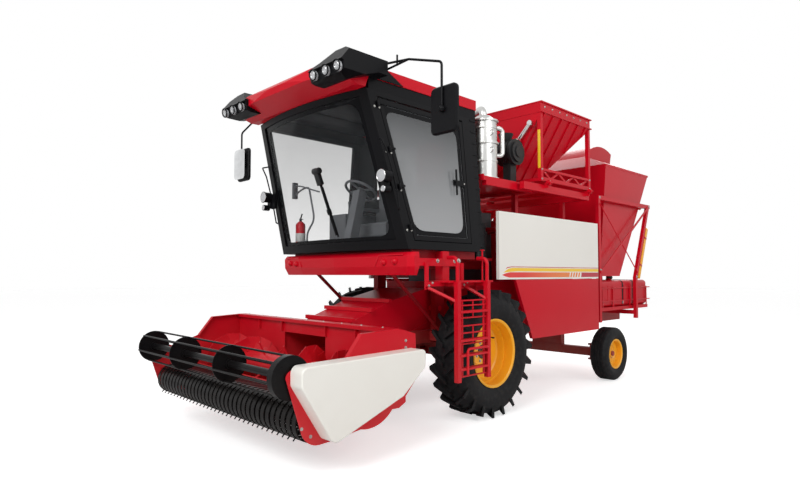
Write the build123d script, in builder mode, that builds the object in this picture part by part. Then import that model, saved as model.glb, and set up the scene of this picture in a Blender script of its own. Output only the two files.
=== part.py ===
from build123d import *
import os
from math import atan2, cos, degrees, pi, radians, sin, sqrt

# Self-propelled peanut harvester: pickup header, cab, thresher, tipping pod bin and tipping vine bin.
# Millimetres. The machine drives toward -Y, its left side is +X and the ground is Z = 0.

os.makedirs("parts", exist_ok=True)

# Wheels and axles
front_axle_y = -820
wheelbase = 3000
rear_axle_y = front_axle_y + wheelbase
front_tyre_d = 1368
front_tyre_w = 378
front_track = 2000
front_rim_d = 742
front_seat_d = 704
lug_count = 22
lug_h = 36
lug_w = 40
lug_lead = 72
rear_tyre_d = 760
rear_tyre_w = 256
rear_track = 2020
rear_rim_d = 428
rear_seat_d = 392
rib_w = 34
rib_depth = 9
hub_bolts = 8
hub_bolt_r = 105
front_axle_z = front_tyre_d / 2
rear_axle_z = rear_tyre_d / 2
front_stub_r = 50
rear_stub_r = 26
kingpin_x = 760
kingpin_r = 26
bearing_fit = 0.3

# Main frame
rail_x = 490
rail_w = 80
rail_h = 140
rail_front_y = -1500
rail_rear_y = 3600
tow_y = 3650
tow_z = 844
tow_gap = 40
tow_hole_r = 17
axle_beam = 180
rail_bottom_z = front_axle_z + axle_beam / 2
rail_top_z = rail_bottom_z + rail_h
post_y = -1010
post_w = 140
cab_base_z = 1700
cab_beam_h = 100
strut_x = 640
strut_foot_y = -1135

# Cab
cab_floor_z = 1800
cab_frame_y = -1950
cab_top_z = 3270
cab_front_y = -2070
cab_lean = 410
cab_rear_y = -960
cab_half_w = 1080
cab_top_half_w = 940
cab_bulge = 110
cab_wall = 46
glass_t = 8
roof_half_w = 950
roof_front_y = -2870
roof_band_z = 3378
roof_top_z = 3540
pod_inner_x = 590
pod_outer_x = 1085
pod_peak_x = 830
pod_top_z = 3572
pod_back_y = -2340
lamp_xs = (670, 850, 1020)
lamp_r = 46
lamp_z = 3352
bumper_low_z = 1530
bumper_high_z = 1755
side_front = 110
door_gap = 8
door_top_gap = 18
hinge_out = 16
hinge_back = 22
hinge_r = 12
hinge_pin_r = 6
hinge_h = 30
hinge_heights = (1960, 2340, 2690, 3110)
door_frame_w = 48
pillar_lamp = (1036, -2372, 2450)
rail_points = ((970, -2345, 2806), (1040, -2392, 2796), (1052, -2330, 2700), (1064, -2262, 2500),
               (1072, -2212, 2320), (1068, -2180, 2160), (1030, -2150, 2140))
mirror_x = 1713
mirror_y = -2300
mirror_half_w = 150
mirror_low_z = 2735
mirror_high_z = 3150
skirt_x = 1112
dome_r = 34

# Thresher and side panels
body_half_w = 760
body_front_y = -640
body_rear_y = 1600
body_step_y = 160
body_step_z = 1450
body_top_z = 2240
panel_x = 1110
panel_t = 40
panel_rear_y = 1680
panel_split_z = 1480

# Engine deck
deck_z = 2600
deck_t = 50
deck_front_y = -780
deck_rear_y = 190

# Pod bin that tips to the left
pod_front_y = 240
pod_rear_y = 1510
pod_left_x = 1100
pod_right_x = -1050
pod_floor_z = 2700
pod_rim_z = 3700
pod_sheet = 6
pod_hinge_x = 1150
pod_hinge_z = 2672
pod_hinge_r = 16
base_top_z = 2650
base_h = 90

# Vine bin that tips to the rear
vine_half_w = 1000
vine_front_top_y = 2190
vine_rear_top_y = 3710
vine_front_low_y = 1950
vine_rear_low_y = 2590
vine_rim_z = 3190
vine_floor_z = 1510
vine_sheet = 6
vine_hinge_y = 3510
vine_hinge_z = 2640
vine_hinge_r = 18
vine_frame_x = 1060
lid_hinge_y = vine_front_top_y - 26
lid_hinge_z = vine_rim_z + 12
lid_pin_r = 8
lid_seat = 0.3

# Header
header_half = 1330
plate_t = 8
auger_y = -2780
auger_z = 630
auger_r = 260
auger_tube_r = 110
auger_room = 20
pickup_y = -3320
pickup_z = 420
band_r = 150
band_t = 7
band_w = 50
band_count = 35
band_pitch = 75
tine_r = 180
tine_bar_r = 100
tine_bars = 4
reel_r = 158
reel_gap = 322
reel_y = auger_y - auger_r - reel_gap - reel_r
reel_z = 780
reel_bars = 6
reel_tube_r = 30
reel_stub_r = 15
pickup_stub_r = 20
auger_stub_r = 25
cover_t = 150
cover_wall = 5
edge_flange = 42
beam_low_edge_z = 980
beam_top_z = 1062
flight_pitch = 450
flight_start = 390
flight_steps = 12
flight_turns = 2
finger_r = 8
feeder_half = 380
feeder_sheet = 8
feeder_mouth_z = 940
pivot_y = post_y
pivot_z = 1150
pivot_r = 30

# Cylinder pins: base and rod eye, as x, z for the pod bin and y, z for the others
pod_base = (300, 2700)
pod_eye = (980, 3430)
cyl_y = deck_rear_y - 4
vine_base = (3260, 1000)
vine_eye = (3150, 2230)
vine_cyl_x = 370
lift_base = (-960, 640)
lift_eye = (-1900, 470)
lift_cyl_x = 250


def rod(start, end, radius):
    """Round bar from start to end, added to the part being built."""
    run = Vector(end) - Vector(start)
    middle = Vector(start) + run * 0.5
    with Locations(Plane(origin=middle, z_dir=run)):
        Cylinder(radius, run.length)


def bar(start, end, width, depth, side=(1, 0, 0)):
    """Square-edged bar from start to end, its width along side, added to the part being built."""
    run = Vector(end) - Vector(start)
    along = run.normalized()
    across = Vector(side) - along * along.dot(Vector(side))
    middle = Vector(start) + run * 0.5
    with Locations(Plane(origin=middle, x_dir=across, z_dir=run)):
        Box(width, depth, run.length)


def pipe(points, bend, radius):
    """Round pipe along a path of straight runs with rounded bends, kept out of the part being built."""
    with BuildPart(mode=Mode.PRIVATE) as tube:
        with BuildLine() as path:
            FilletPolyline(*points, radius=bend)
        start = path.wires()[0] @ 0
        with BuildSketch(Plane(origin=start, z_dir=path.wires()[0] % 0)):
            Circle(radius)
        sweep(path=path.wires()[0])
    return tube.part


def block(x0, x1, y0, y1, z0, z1, mode=Mode.ADD):
    """Upright block between six faces, added to the part being built."""
    with Locations(((x0 + x1) / 2, (y0 + y1) / 2, (z0 + z1) / 2)):
        Box(x1 - x0, y1 - y0, z1 - z0, mode=mode)


def finish(piece, name):
    """Label a finished piece and write it."""
    piece.part.label = name
    export_step(piece.part, "parts/" + name + ".step")


# Main frame: two rails, cross members, feet of the cab struts, cylinder ears and the tow clevis
with BuildPart() as main_frame:
    for side in (-1, 1):
        x0 = side * rail_x - rail_w / 2
        x1 = side * rail_x + rail_w / 2
        block(x0, x1, rail_front_y, rail_rear_y, rail_bottom_z, rail_top_z)
        # foot of the cab strut
        foot_x = side * (strut_x + 30)
        block(min(foot_x, side * rail_x), max(foot_x, side * rail_x), strut_foot_y - 45, strut_foot_y + 45,
              rail_top_z - 114, rail_top_z - 14)
    for y in (100, 1500, rear_axle_y, 2900, rail_rear_y - 50):
        block(-rail_x, rail_x, y - 40, y + 40, rail_bottom_z + 20, rail_top_z - 20)
    # base ears of the vine bin cylinders
    for x in (-vine_cyl_x, vine_cyl_x):
        block(x - 70, x - 52, vine_base[0] - 50, vine_base[0] + 50, rail_top_z - 14, vine_base[1] + 50)
        rod((x - 70, vine_base[0], vine_base[1]), (x + 24, vine_base[0], vine_base[1]), 16)
    block(-rail_x + rail_w / 2, rail_x - rail_w / 2, vine_base[0] - 60, vine_base[0] + 60, rail_bottom_z + 46,
          rail_top_z - 14)
    # tow clevis on the last cross member
    for z in (tow_z - tow_gap / 2 - 10, tow_z + tow_gap / 2 + 10):
        with BuildSketch(Plane.XY.offset(z - 10)):
            with Locations((0, tow_y - 55)):
                Rectangle(120, 110)
            with Locations((0, tow_y)):
                Circle(60)
        extrude(amount=20)
    with Locations((0, tow_y, tow_z)):
        Cylinder(tow_hole_r, 200, mode=Mode.SUBTRACT)
finish(main_frame, "main_frame")

# Cab and deck frame on the rails: feeder posts, beams, deck posts, struts and floor frame
with BuildPart() as cab_frame:
    beam_low_z = cab_base_z - cab_beam_h
    for side in (-1, 1):
        x0 = side * rail_x - rail_w / 2
        x1 = side * rail_x + rail_w / 2
        block(x0, x1, post_y - post_w / 2, post_y + post_w / 2, rail_top_z, beam_low_z)
        block(x0, x1, cab_frame_y, -120, beam_low_z, cab_base_z)
        block(x0, x1, deck_front_y - 20, deck_front_y + 40, cab_base_z, deck_z)
        # struts from the front beam down to the feet on the rails
        rod((side * strut_x, cab_frame_y + 35, beam_low_z - 18), (side * strut_x, strut_foot_y, rail_top_z + 4), 20)
        block(side * strut_x - 30, side * strut_x + 30, cab_frame_y, cab_frame_y + 70, beam_low_z - 12, beam_low_z)
        block(side * strut_x - 30, side * strut_x + 30, strut_foot_y - 40, strut_foot_y + 40, rail_top_z - 14,
              rail_top_z - 2)
    block(-720, 720, cab_frame_y, cab_frame_y + 70, beam_low_z, cab_base_z)
    # bores of the header pivot
    for side in (-1, 1):
        with Locations(Plane(origin=(side * rail_x, pivot_y, pivot_z), z_dir=(1, 0, 0))):
            Cylinder(pivot_r + bearing_fit, rail_w + 20, mode=Mode.SUBTRACT)
    # cab floor frame
    block(-cab_half_w + 80, cab_half_w - 80, cab_frame_y, cab_rear_y, cab_base_z, cab_floor_z - 20)
    # tray of the black tank
    block(rail_x + rail_w / 2, cab_half_w - 80, -900, -640, cab_base_z - 10, cab_base_z + 16)
finish(cab_frame, "cab_frame")


# Front axle with final drives
with BuildPart() as front_axle:
    drive_x = front_track / 2 - 60
    block(-640, 640, front_axle_y - axle_beam / 2, front_axle_y + axle_beam / 2,
          front_axle_z - axle_beam / 2, front_axle_z + axle_beam / 2)
    for side in (-1, 1):
        with Locations(Plane(origin=(side * 710, front_axle_y, front_axle_z), z_dir=(side, 0, 0))):
            Cylinder(175, 150)
        rod((side * 780, front_axle_y, front_axle_z), (side * (drive_x - 30), front_axle_y, front_axle_z), 90)
        rod((side * 860, front_axle_y, front_axle_z), (side * (drive_x + 60), front_axle_y, front_axle_z),
            front_stub_r)
    # base ears of the header lift cylinders
    for x in (-lift_cyl_x, lift_cyl_x):
        block(x - 60, x - 44, -1000, front_axle_y - axle_beam / 2, 600, 690)
        rod((x - 60, lift_base[0], lift_base[1]), (x + 20, lift_base[0], lift_base[1]), 14)
finish(front_axle, "front_axle")

# Rear axle: beam, bosses for the kingpins and its hanger
with BuildPart() as rear_axle:
    block(-kingpin_x, kingpin_x, rear_axle_y - 60, rear_axle_y + 60, rear_axle_z - 60, rear_axle_z + 60)
    block(-260, 260, rear_axle_y - 50, rear_axle_y + 50, rear_axle_z + 60, rail_bottom_z + 20)
    with Locations((kingpin_x, rear_axle_y, rear_axle_z), (-kingpin_x, rear_axle_y, rear_axle_z)):
        Cylinder(48, 180)
        Cylinder(kingpin_r + bearing_fit, 220, mode=Mode.SUBTRACT)
finish(rear_axle, "rear_axle")

# Steering knuckles: kingpin, fork plates and stub axle
for name, side in (("knuckle_left", 1), ("knuckle_right", -1)):
    with BuildPart() as knuckle:
        with Locations((side * kingpin_x, rear_axle_y, rear_axle_z)):
            Cylinder(kingpin_r, 240)
        for z in (rear_axle_z - 108, rear_axle_z + 108):
            block(min(side * 700, side * 850), max(side * 700, side * 850), rear_axle_y - 45, rear_axle_y + 45,
                  z - 12, z + 12)
        block(min(side * 826, side * 850), max(side * 826, side * 850), rear_axle_y - 45, rear_axle_y + 45,
              rear_axle_z - 120, rear_axle_z + 120)
        rod((side * 840, rear_axle_y, rear_axle_z), (side * (rear_track / 2 + 50), rear_axle_y, rear_axle_z),
            rear_stub_r)
    finish(knuckle, name)

# Drive wheels: bar-lug tyres whose chevrons point forward at the top, deep dished rims
for name, side in (("front_left", 1), ("front_right", -1)):
    wheel_plane = Plane(origin=(side * front_track / 2, front_axle_y, front_axle_z), x_dir=(0, 0, 1),
                        z_dir=(side, 0, 0))
    half = front_tyre_w / 2
    outer = front_tyre_d / 2
    crown = outer - lug_h
    bead = half - 34
    seat = front_seat_d / 2
    flange = front_rim_d / 2
    # one lug of each row, drawn on a plane that touches the tread
    lugs = []
    for row in (1, -1):
        with BuildPart() as lug:
            with BuildSketch(Plane(origin=(crown - 78, 0, 0), x_dir=(0, 1, 0), z_dir=(1, 0, 0))):
                with BuildLine():
                    Polyline((side * lug_lead - lug_w / 2, row * 4), (side * lug_lead + lug_w / 2, row * 4),
                             (-side * lug_lead + lug_w / 2, row * (half - 3)),
                             (-side * lug_lead - lug_w / 2, row * (half - 3)),
                             (side * lug_lead - lug_w / 2, row * 4))
                make_face()
            extrude(amount=outer - crown + 90)
        lugs.append(lug.part)
    with BuildPart(wheel_plane) as tyre:
        with PolarLocations(0, lug_count):
            add(lugs[0])
        with PolarLocations(0, lug_count, start_angle=180 / lug_count):
            add(lugs[1])
        Cylinder(outer, front_tyre_w, mode=Mode.INTERSECT)
        with BuildSketch(Plane(origin=wheel_plane.origin, x_dir=(side, 0, 0), z_dir=(0, -side, 0))):
            with BuildLine():
                Polyline((-bead, seat), (bead, seat), (bead, flange + 8))
                ThreePointArc((bead, flange + 8), (half, flange + 0.4 * (crown - flange)), (half - 8, crown - 66))
                Line((half - 8, crown - 66), (half - 52, crown - 8))
                ThreePointArc((half - 52, crown - 8), (0, crown), (-half + 52, crown - 8))
                Line((-half + 52, crown - 8), (-half + 8, crown - 66))
                ThreePointArc((-half + 8, crown - 66), (-half, flange + 0.4 * (crown - flange)),
                              (-bead, flange + 8))
                Line((-bead, flange + 8), (-bead, seat))
            make_face()
        revolve(axis=Axis(wheel_plane.origin, (1, 0, 0)))
    finish(tyre, name + "_tyre")
    disc_x = -48
    with BuildPart() as rim:
        with BuildSketch(Plane(origin=wheel_plane.origin, x_dir=(side, 0, 0), z_dir=(0, -side, 0))):
            with BuildLine():
                Polyline((-bead - 8, flange), (-bead - 0.3, flange), (-bead - 0.3, seat - 0.3),
                         (bead + 0.3, seat - 0.3), (bead + 0.3, flange), (bead + 8, flange), (bead + 8, seat + 4),
                         (bead - 4, seat - 9), (-bead - 8, seat - 12), (-bead - 8, flange))
            make_face()
            # dished disc with its raised hub face
            with BuildLine():
                Polyline((44, seat - 5), (48, seat - 40), (disc_x + 26, seat - 58), (disc_x + 12, seat - 74),
                         (disc_x + 12, 176), (disc_x + 34, 160), (disc_x + 34, 70), (disc_x + 24, 66),
                         (disc_x + 24, front_stub_r + bearing_fit), (disc_x, front_stub_r + bearing_fit),
                         (disc_x, seat - 66), (disc_x + 16, seat - 48), (36, seat - 32), (34, seat - 5),
                         (44, seat - 5))
            make_face()
        revolve(axis=Axis(wheel_plane.origin, (1, 0, 0)))
    finish(rim, name + "_rim")

# Steered wheels: ribbed tyres on small dished rims
for name, side in (("rear_left", 1), ("rear_right", -1)):
    origin = (side * rear_track / 2, rear_axle_y, rear_axle_z)
    half = rear_tyre_w / 2
    outer = rear_tyre_d / 2
    bead = half - 26
    seat = rear_seat_d / 2
    flange = rear_rim_d / 2
    with BuildPart() as tyre:
        with BuildSketch(Plane(origin=origin, x_dir=(side, 0, 0), z_dir=(0, -side, 0))):
            with BuildLine():
                Polyline((-bead, seat), (bead, seat), (bead, flange + 5))
                ThreePointArc((bead, flange + 5), (half, flange + 0.45 * (outer - flange)), (half - 10, outer - 34))
                Polyline((half - 10, outer - 34), (half - 34, outer - 6), (half - 46, outer), (-half + 46, outer),
                         (-half + 34, outer - 6), (-half + 10, outer - 34))
                ThreePointArc((-half + 10, outer - 34), (-half, flange + 0.45 * (outer - flange)),
                              (-bead, flange + 5))
                Line((-bead, flange + 5), (-bead, seat))
            make_face()
            # grooves between the ribs
            for x in (-1.3 * rib_w, 0, 1.3 * rib_w):
                with Locations((x, outer)):
                    Rectangle(0.3 * rib_w, 2 * rib_depth, mode=Mode.SUBTRACT)
        revolve(axis=Axis(origin, (1, 0, 0)))
    finish(tyre, name + "_tyre")
    with BuildPart() as rim:
        with BuildSketch(Plane(origin=origin, x_dir=(side, 0, 0), z_dir=(0, -side, 0))):
            with BuildLine():
                Polyline((-bead - 6, flange), (-bead - 0.3, flange), (-bead - 0.3, seat - 0.3),
                         (bead + 0.3, seat - 0.3), (bead + 0.3, flange), (bead + 6, flange), (bead + 6, seat + 2),
                         (bead - 4, seat - 7), (-bead - 6, seat - 9), (-bead - 6, flange))
            make_face()
            with BuildLine():
                Polyline((34, seat - 4), (34, 126), (14, 108), (14, 62), (46, 56), (46, rear_stub_r + bearing_fit),
                         (-16, rear_stub_r + bearing_fit), (-16, 56), (4, 64), (4, 112), (24, 132), (24, seat - 4),
                         (34, seat - 4))
            make_face()
        revolve(axis=Axis(origin, (1, 0, 0)))
    finish(rim, name + "_rim")

# Thresher body with the arms that carry the side panels
arm_inner = body_half_w
arm_outer = panel_x - panel_t
with BuildPart() as thresher_body:
    with BuildSketch(Plane.YZ.offset(-body_half_w)):
        with BuildLine():
            Polyline((body_front_y, rail_top_z), (body_front_y, body_step_z), (body_step_y, body_step_z),
                     (body_step_y, body_top_z), (body_rear_y, body_top_z), (body_rear_y, rail_top_z),
                     (body_front_y, rail_top_z))
        make_face()
    extrude(amount=2 * body_half_w)
    for side in (-1, 1):
        for y, z in ((220, 900), (1540, 900), (220, 1500), (1540, 1500), (220, 2190), (1540, 2190)):
            block(min(side * arm_inner, side * arm_outer), max(side * arm_inner, side * arm_outer),
                  y - 25, y + 25, z - 25, z + 25)
finish(thresher_body, "thresher_body")

# Side panels: cream above, red below
for name, sign in (("upper_panels", 1), ("lower_panels", -1)):
    with BuildPart() as panels:
        for side in (-1, 1):
            near = side * (panel_x - panel_t) if side > 0 else -panel_x
            with BuildSketch(Plane.YZ.offset(near)):
                with BuildLine():
                    if sign > 0:
                        Polyline((-660, panel_split_z), (panel_rear_y, panel_split_z), (panel_rear_y, 2250),
                                 (-660, 2250), (-660, panel_split_z))
                    else:
                        Polyline((-340, panel_split_z - 4), (0, 770), (panel_rear_y, 770),
                                 (panel_rear_y, panel_split_z - 4), (-340, panel_split_z - 4))
                make_face()
            extrude(amount=panel_t)
    finish(panels, name)

# Engine behind the cab, one block on the front of the thresher
with BuildPart() as engine:
    block(-380, 420, -600, 120, body_step_z, 2330)
finish(engine, "engine")

# Engine deck
with BuildPart() as engine_deck:
    block(-900, 1000, deck_front_y, deck_rear_y, deck_z, deck_z + deck_t)
    block(-900, 1000, deck_front_y - 12, deck_front_y, deck_z, deck_z + deck_t + 20)
    block(940, 1000, deck_front_y + 40, deck_rear_y, deck_z - 50, deck_z)
    # base ear of the pod bin cylinder
    rod((pod_base[0], cyl_y - 58, pod_base[1]), (pod_base[0], cyl_y + 22, pod_base[1]), 15)
    block(pod_base[0] - 60, pod_base[0] + 60, cyl_y - 58, cyl_y - 48, deck_z + deck_t, pod_base[1] + 60)
finish(engine_deck, "engine_deck")

# Exhaust aftertreatment cylinder on the deck: drum with clamp bands and domed end, elbow and side pipe
drum_x = 800
drum_y = -530
drum_r = 160
drum_foot_z = deck_z + deck_t
with BuildPart() as exhaust_unit:
    with BuildSketch(Plane(origin=(drum_x, drum_y, drum_foot_z), x_dir=(1, 0, 0), z_dir=(0, -1, 0))):
        with BuildLine():
            Polyline((0, 0), (drum_r + 22, 0), (drum_r + 22, 16), (drum_r, 16), (drum_r, 200), (drum_r + 7, 200),
                     (drum_r + 7, 222), (drum_r, 222), (drum_r, 410), (drum_r + 16, 410), (drum_r + 16, 436),
                     (drum_r, 436), (drum_r, 590), (drum_r + 7, 590), (drum_r + 7, 612), (drum_r, 612),
                     (drum_r, 676), (drum_r + 20, 676), (drum_r + 20, 694), (drum_r - 6, 700), (80, 756), (0, 756),
                     (0, 0))
        make_face()
    revolve(axis=Axis((drum_x, drum_y, 0), (0, 0, 1)))
    top_z = drum_foot_z + 850
    add(pipe(((drum_x, drum_y, top_z - 110), (drum_x, drum_y, top_z), (drum_x - 190, drum_y + 90, top_z)), 70, 45))
    # side pipe between two elbows
    side_x = drum_x + 130
    add(pipe(((drum_x + 60, drum_y + 40, top_z - 230), (side_x, drum_y + 200, top_z - 230),
              (side_x, drum_y + 200, drum_foot_z + 290), (drum_x + 60, drum_y + 40, drum_foot_z + 290)), 50, 27))
finish(exhaust_unit, "exhaust_unit")

# Air filter: ribbed drum on its side, stepped cap, funnel neck and saddle
filter_z = 3040
filter_y = -35
filter_r = 150
with BuildPart() as air_filter:
    rod((700, filter_y, filter_z), (930, filter_y, filter_z), filter_r)
    for x in (730, 775, 820, 865):
        rod((x, filter_y, filter_z), (x + 14, filter_y, filter_z), filter_r + 8)
    rod((905, filter_y, filter_z), (935, filter_y, filter_z), filter_r + 12)
    rod((935, filter_y, filter_z), (960, filter_y, filter_z), filter_r - 26)
    rod((960, filter_y, filter_z), (972, filter_y, filter_z), filter_r - 80)
    with Locations((770, filter_y, filter_z + filter_r + 40)):
        Cone(58, 96, 110)
    block(770, 880, filter_y - 60, filter_y + 60, drum_foot_z, filter_z - 100)
    block(740, 910, filter_y - 100, filter_y + 100, drum_foot_z, drum_foot_z + 20)
finish(air_filter, "air_filter")

# Black moulded tank behind the cab, with ribs, a foot flange and an angled neck
with BuildPart() as side_tank:
    block(764, 956, -852, -678, 1716, 2120)
    fillet(side_tank.edges().filter_by(Axis.Z), 34)
    for z in (1716, 1800, 1890, 1980, 2070):
        with BuildSketch(Plane.XY.offset(z)):
            with Locations((860, -765)):
                RectangleRounded(206, 188, 40)
        extrude(amount=16)
    with Locations(Plane(origin=(860, -790, 2150), z_dir=(0.35, -0.25, 0.9))):
        Cylinder(46, 90)
        with Locations((0, 0, 50)):
            Cylinder(58, 26)
finish(side_tank, "side_tank")

# Base frame of the pod bin, on the thresher
with BuildPart() as bin_base:
    for side in (-1, 1):
        block(side * 1070 - 30, side * 1070 + 30, -140, 1460, base_top_z - base_h, base_top_z)
        for y in (250, 1430):
            block(side * 700 - 30, side * 700 + 30, y - 30, y + 30, body_top_z, base_top_z - base_h)
    for y in (250, 1430):
        block(-1100, 1100, y - 30, y + 30, base_top_z - base_h, base_top_z)
    block(-1100, 1100, deck_rear_y, deck_rear_y + 20, base_top_z - base_h, base_top_z)
    for y in (330, 1380):
        block(1095, pod_hinge_x, y - 8, y + 8, pod_hinge_z - 60, pod_hinge_z)
        rod((pod_hinge_x, y - 8, pod_hinge_z), (pod_hinge_x, y + 8, pod_hinge_z), 34)
        rod((pod_hinge_x, y - 40, pod_hinge_z), (pod_hinge_x, y + 40, pod_hinge_z), pod_hinge_r)
finish(bin_base, "bin_base")

# Pod bin: hopper, rim, corner posts, bottom rail and hinge ears
with BuildPart() as pod_bin:
    with BuildSketch(Plane.XY.offset(pod_floor_z)):
        with BuildLine():
            Polyline((pod_right_x, pod_front_y), (560, pod_front_y), (560, 760), (pod_right_x, 760),
                     (pod_right_x, pod_front_y))
        make_face()
    with BuildSketch(Plane.XY.offset(3560)):
        with BuildLine():
            Polyline((pod_right_x, pod_front_y), (pod_left_x, pod_front_y), (pod_left_x, pod_rear_y),
                     (pod_right_x, pod_rear_y), (pod_right_x, pod_front_y))
        make_face()
    loft(ruled=True)
    with BuildSketch(Plane.XY.offset(3560)):
        with BuildLine():
            Polyline((pod_right_x, pod_front_y), (pod_left_x, pod_front_y), (pod_left_x, pod_rear_y),
                     (pod_right_x, pod_rear_y), (pod_right_x, pod_front_y))
        make_face()
    extrude(amount=pod_rim_z - 3560)
    top = pod_bin.faces().sort_by(Axis.Z)[-1]
    offset(amount=-pod_sheet, openings=top)
    # lips of the rim, shallow on the front wall beside the cylinder
    for z in (3560, pod_rim_z - 14):
        for x0, x1, y0, y1 in ((pod_left_x, pod_left_x + 20, pod_front_y, pod_rear_y + 20),
                               (pod_right_x - 20, pod_right_x, pod_front_y, pod_rear_y + 20),
                               (pod_right_x - 20, pod_left_x + 20, pod_rear_y, pod_rear_y + 20),
                               (pod_right_x - 20, pod_left_x + 20, pod_front_y - 6, pod_front_y)):
            block(x0, x1, y0, y1, z, z + 14)
    for y in (pod_front_y + 25, pod_rear_y - 25):
        block(pod_left_x - 50, pod_left_x, y - 25, y + 25, pod_floor_z, 3560)
        block(-1040, pod_left_x, y - 20, y + 20, pod_floor_z, pod_floor_z + 40)
    block(pod_left_x - 40, pod_left_x, pod_front_y, pod_rear_y, pod_floor_z, pod_floor_z + 50)
    # second rail and the truss between the two
    block(pod_left_x - 40, pod_left_x, pod_front_y, pod_rear_y, pod_floor_z + 130, pod_floor_z + 160)
    truss = [(pod_front_y + 60 + step * 190, pod_floor_z + (40 if step % 2 else 140)) for step in range(7)]
    for start, end in zip(truss, truss[1:]):
        bar((pod_left_x - 20, start[0], start[1]), (pod_left_x - 20, end[0], end[1]), 12, 26)
    # ribs on the sloping left wall
    for y in (330, 540, 750, 960, 1170, 1380):
        begin = max(0, (y - 760) / (pod_rear_y - 760)) + 0.04
        low = (560 + begin * (pod_left_x - 560) + 8, y, pod_floor_z + begin * (3560 - pod_floor_z))
        bar(low, (pod_left_x + 8, y, 3560), 26, 24, side=(0, 1, 0))
    # flat strips on the front wall and the pad of the cylinder eye
    for x in (-850, -450, -50):
        block(x - 20, x + 20, pod_front_y - 6, pod_front_y, pod_floor_z + 20, 3560)
    rod((pod_eye[0], cyl_y + 26, pod_eye[1]), (pod_eye[0], pod_front_y, pod_eye[1]), 46)
    for y in (330 + 20, 1380 + 20):
        with BuildSketch(Plane.XZ.offset(-y)):
            with BuildLine():
                Polyline((pod_left_x - 30, pod_floor_z + 10), (pod_hinge_x, pod_hinge_z + 30),
                         (pod_hinge_x, pod_hinge_z - 20), (pod_left_x - 30, pod_floor_z + 10))
            make_face()
        extrude(amount=-10)
        rod((pod_hinge_x, y, pod_hinge_z), (pod_hinge_x, y + 10, pod_hinge_z), 34)
        with Locations(Plane(origin=(pod_hinge_x, y + 5, pod_hinge_z), z_dir=(0, 1, 0))):
            Cylinder(pod_hinge_r + bearing_fit, 20, mode=Mode.SUBTRACT)
finish(pod_bin, "pod_bin")

# Tipping cylinder of the pod bin, in front of its front wall
pod_span = sqrt((pod_eye[0] - pod_base[0]) ** 2 + (pod_eye[1] - pod_base[1]) ** 2)
pod_ux = (pod_eye[0] - pod_base[0]) / pod_span
pod_uz = (pod_eye[1] - pod_base[1]) / pod_span


def on_pod(distance):
    """Point on the pod bin's cylinder line, measured from its base pin."""
    return (pod_base[0] + pod_ux * distance, cyl_y, pod_base[1] + pod_uz * distance)


with BuildPart() as pod_barrel:
    rod(on_pod(30), on_pod(760), 42)
    with Locations(Plane(origin=on_pod(0), z_dir=(0, 1, 0))):
        Cylinder(36, 40)
    with Locations(Plane(origin=on_pod(400), z_dir=(pod_ux, 0, pod_uz))):
        Cylinder(22.5, 900, mode=Mode.SUBTRACT)
    rod(on_pod(20), on_pod(80), 30)
    with Locations(Plane(origin=on_pod(0), z_dir=(0, 1, 0))):
        Cylinder(15 + bearing_fit, 60, mode=Mode.SUBTRACT)
finish(pod_barrel, "pod_barrel")
with BuildPart() as pod_rod:
    rod(on_pod(110), on_pod(pod_span - 20), 22)
    with Locations(Plane(origin=on_pod(pod_span), z_dir=(0, 1, 0))):
        Cylinder(34, 36)
finish(pod_rod, "pod_rod")

def vine_rear(z):
    """Y of the vine bin's slanted rear wall at a height."""
    share = (z - vine_floor_z) / (vine_rim_z - vine_floor_z)
    return vine_rear_low_y + share * (vine_rear_top_y - vine_rear_low_y)


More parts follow.
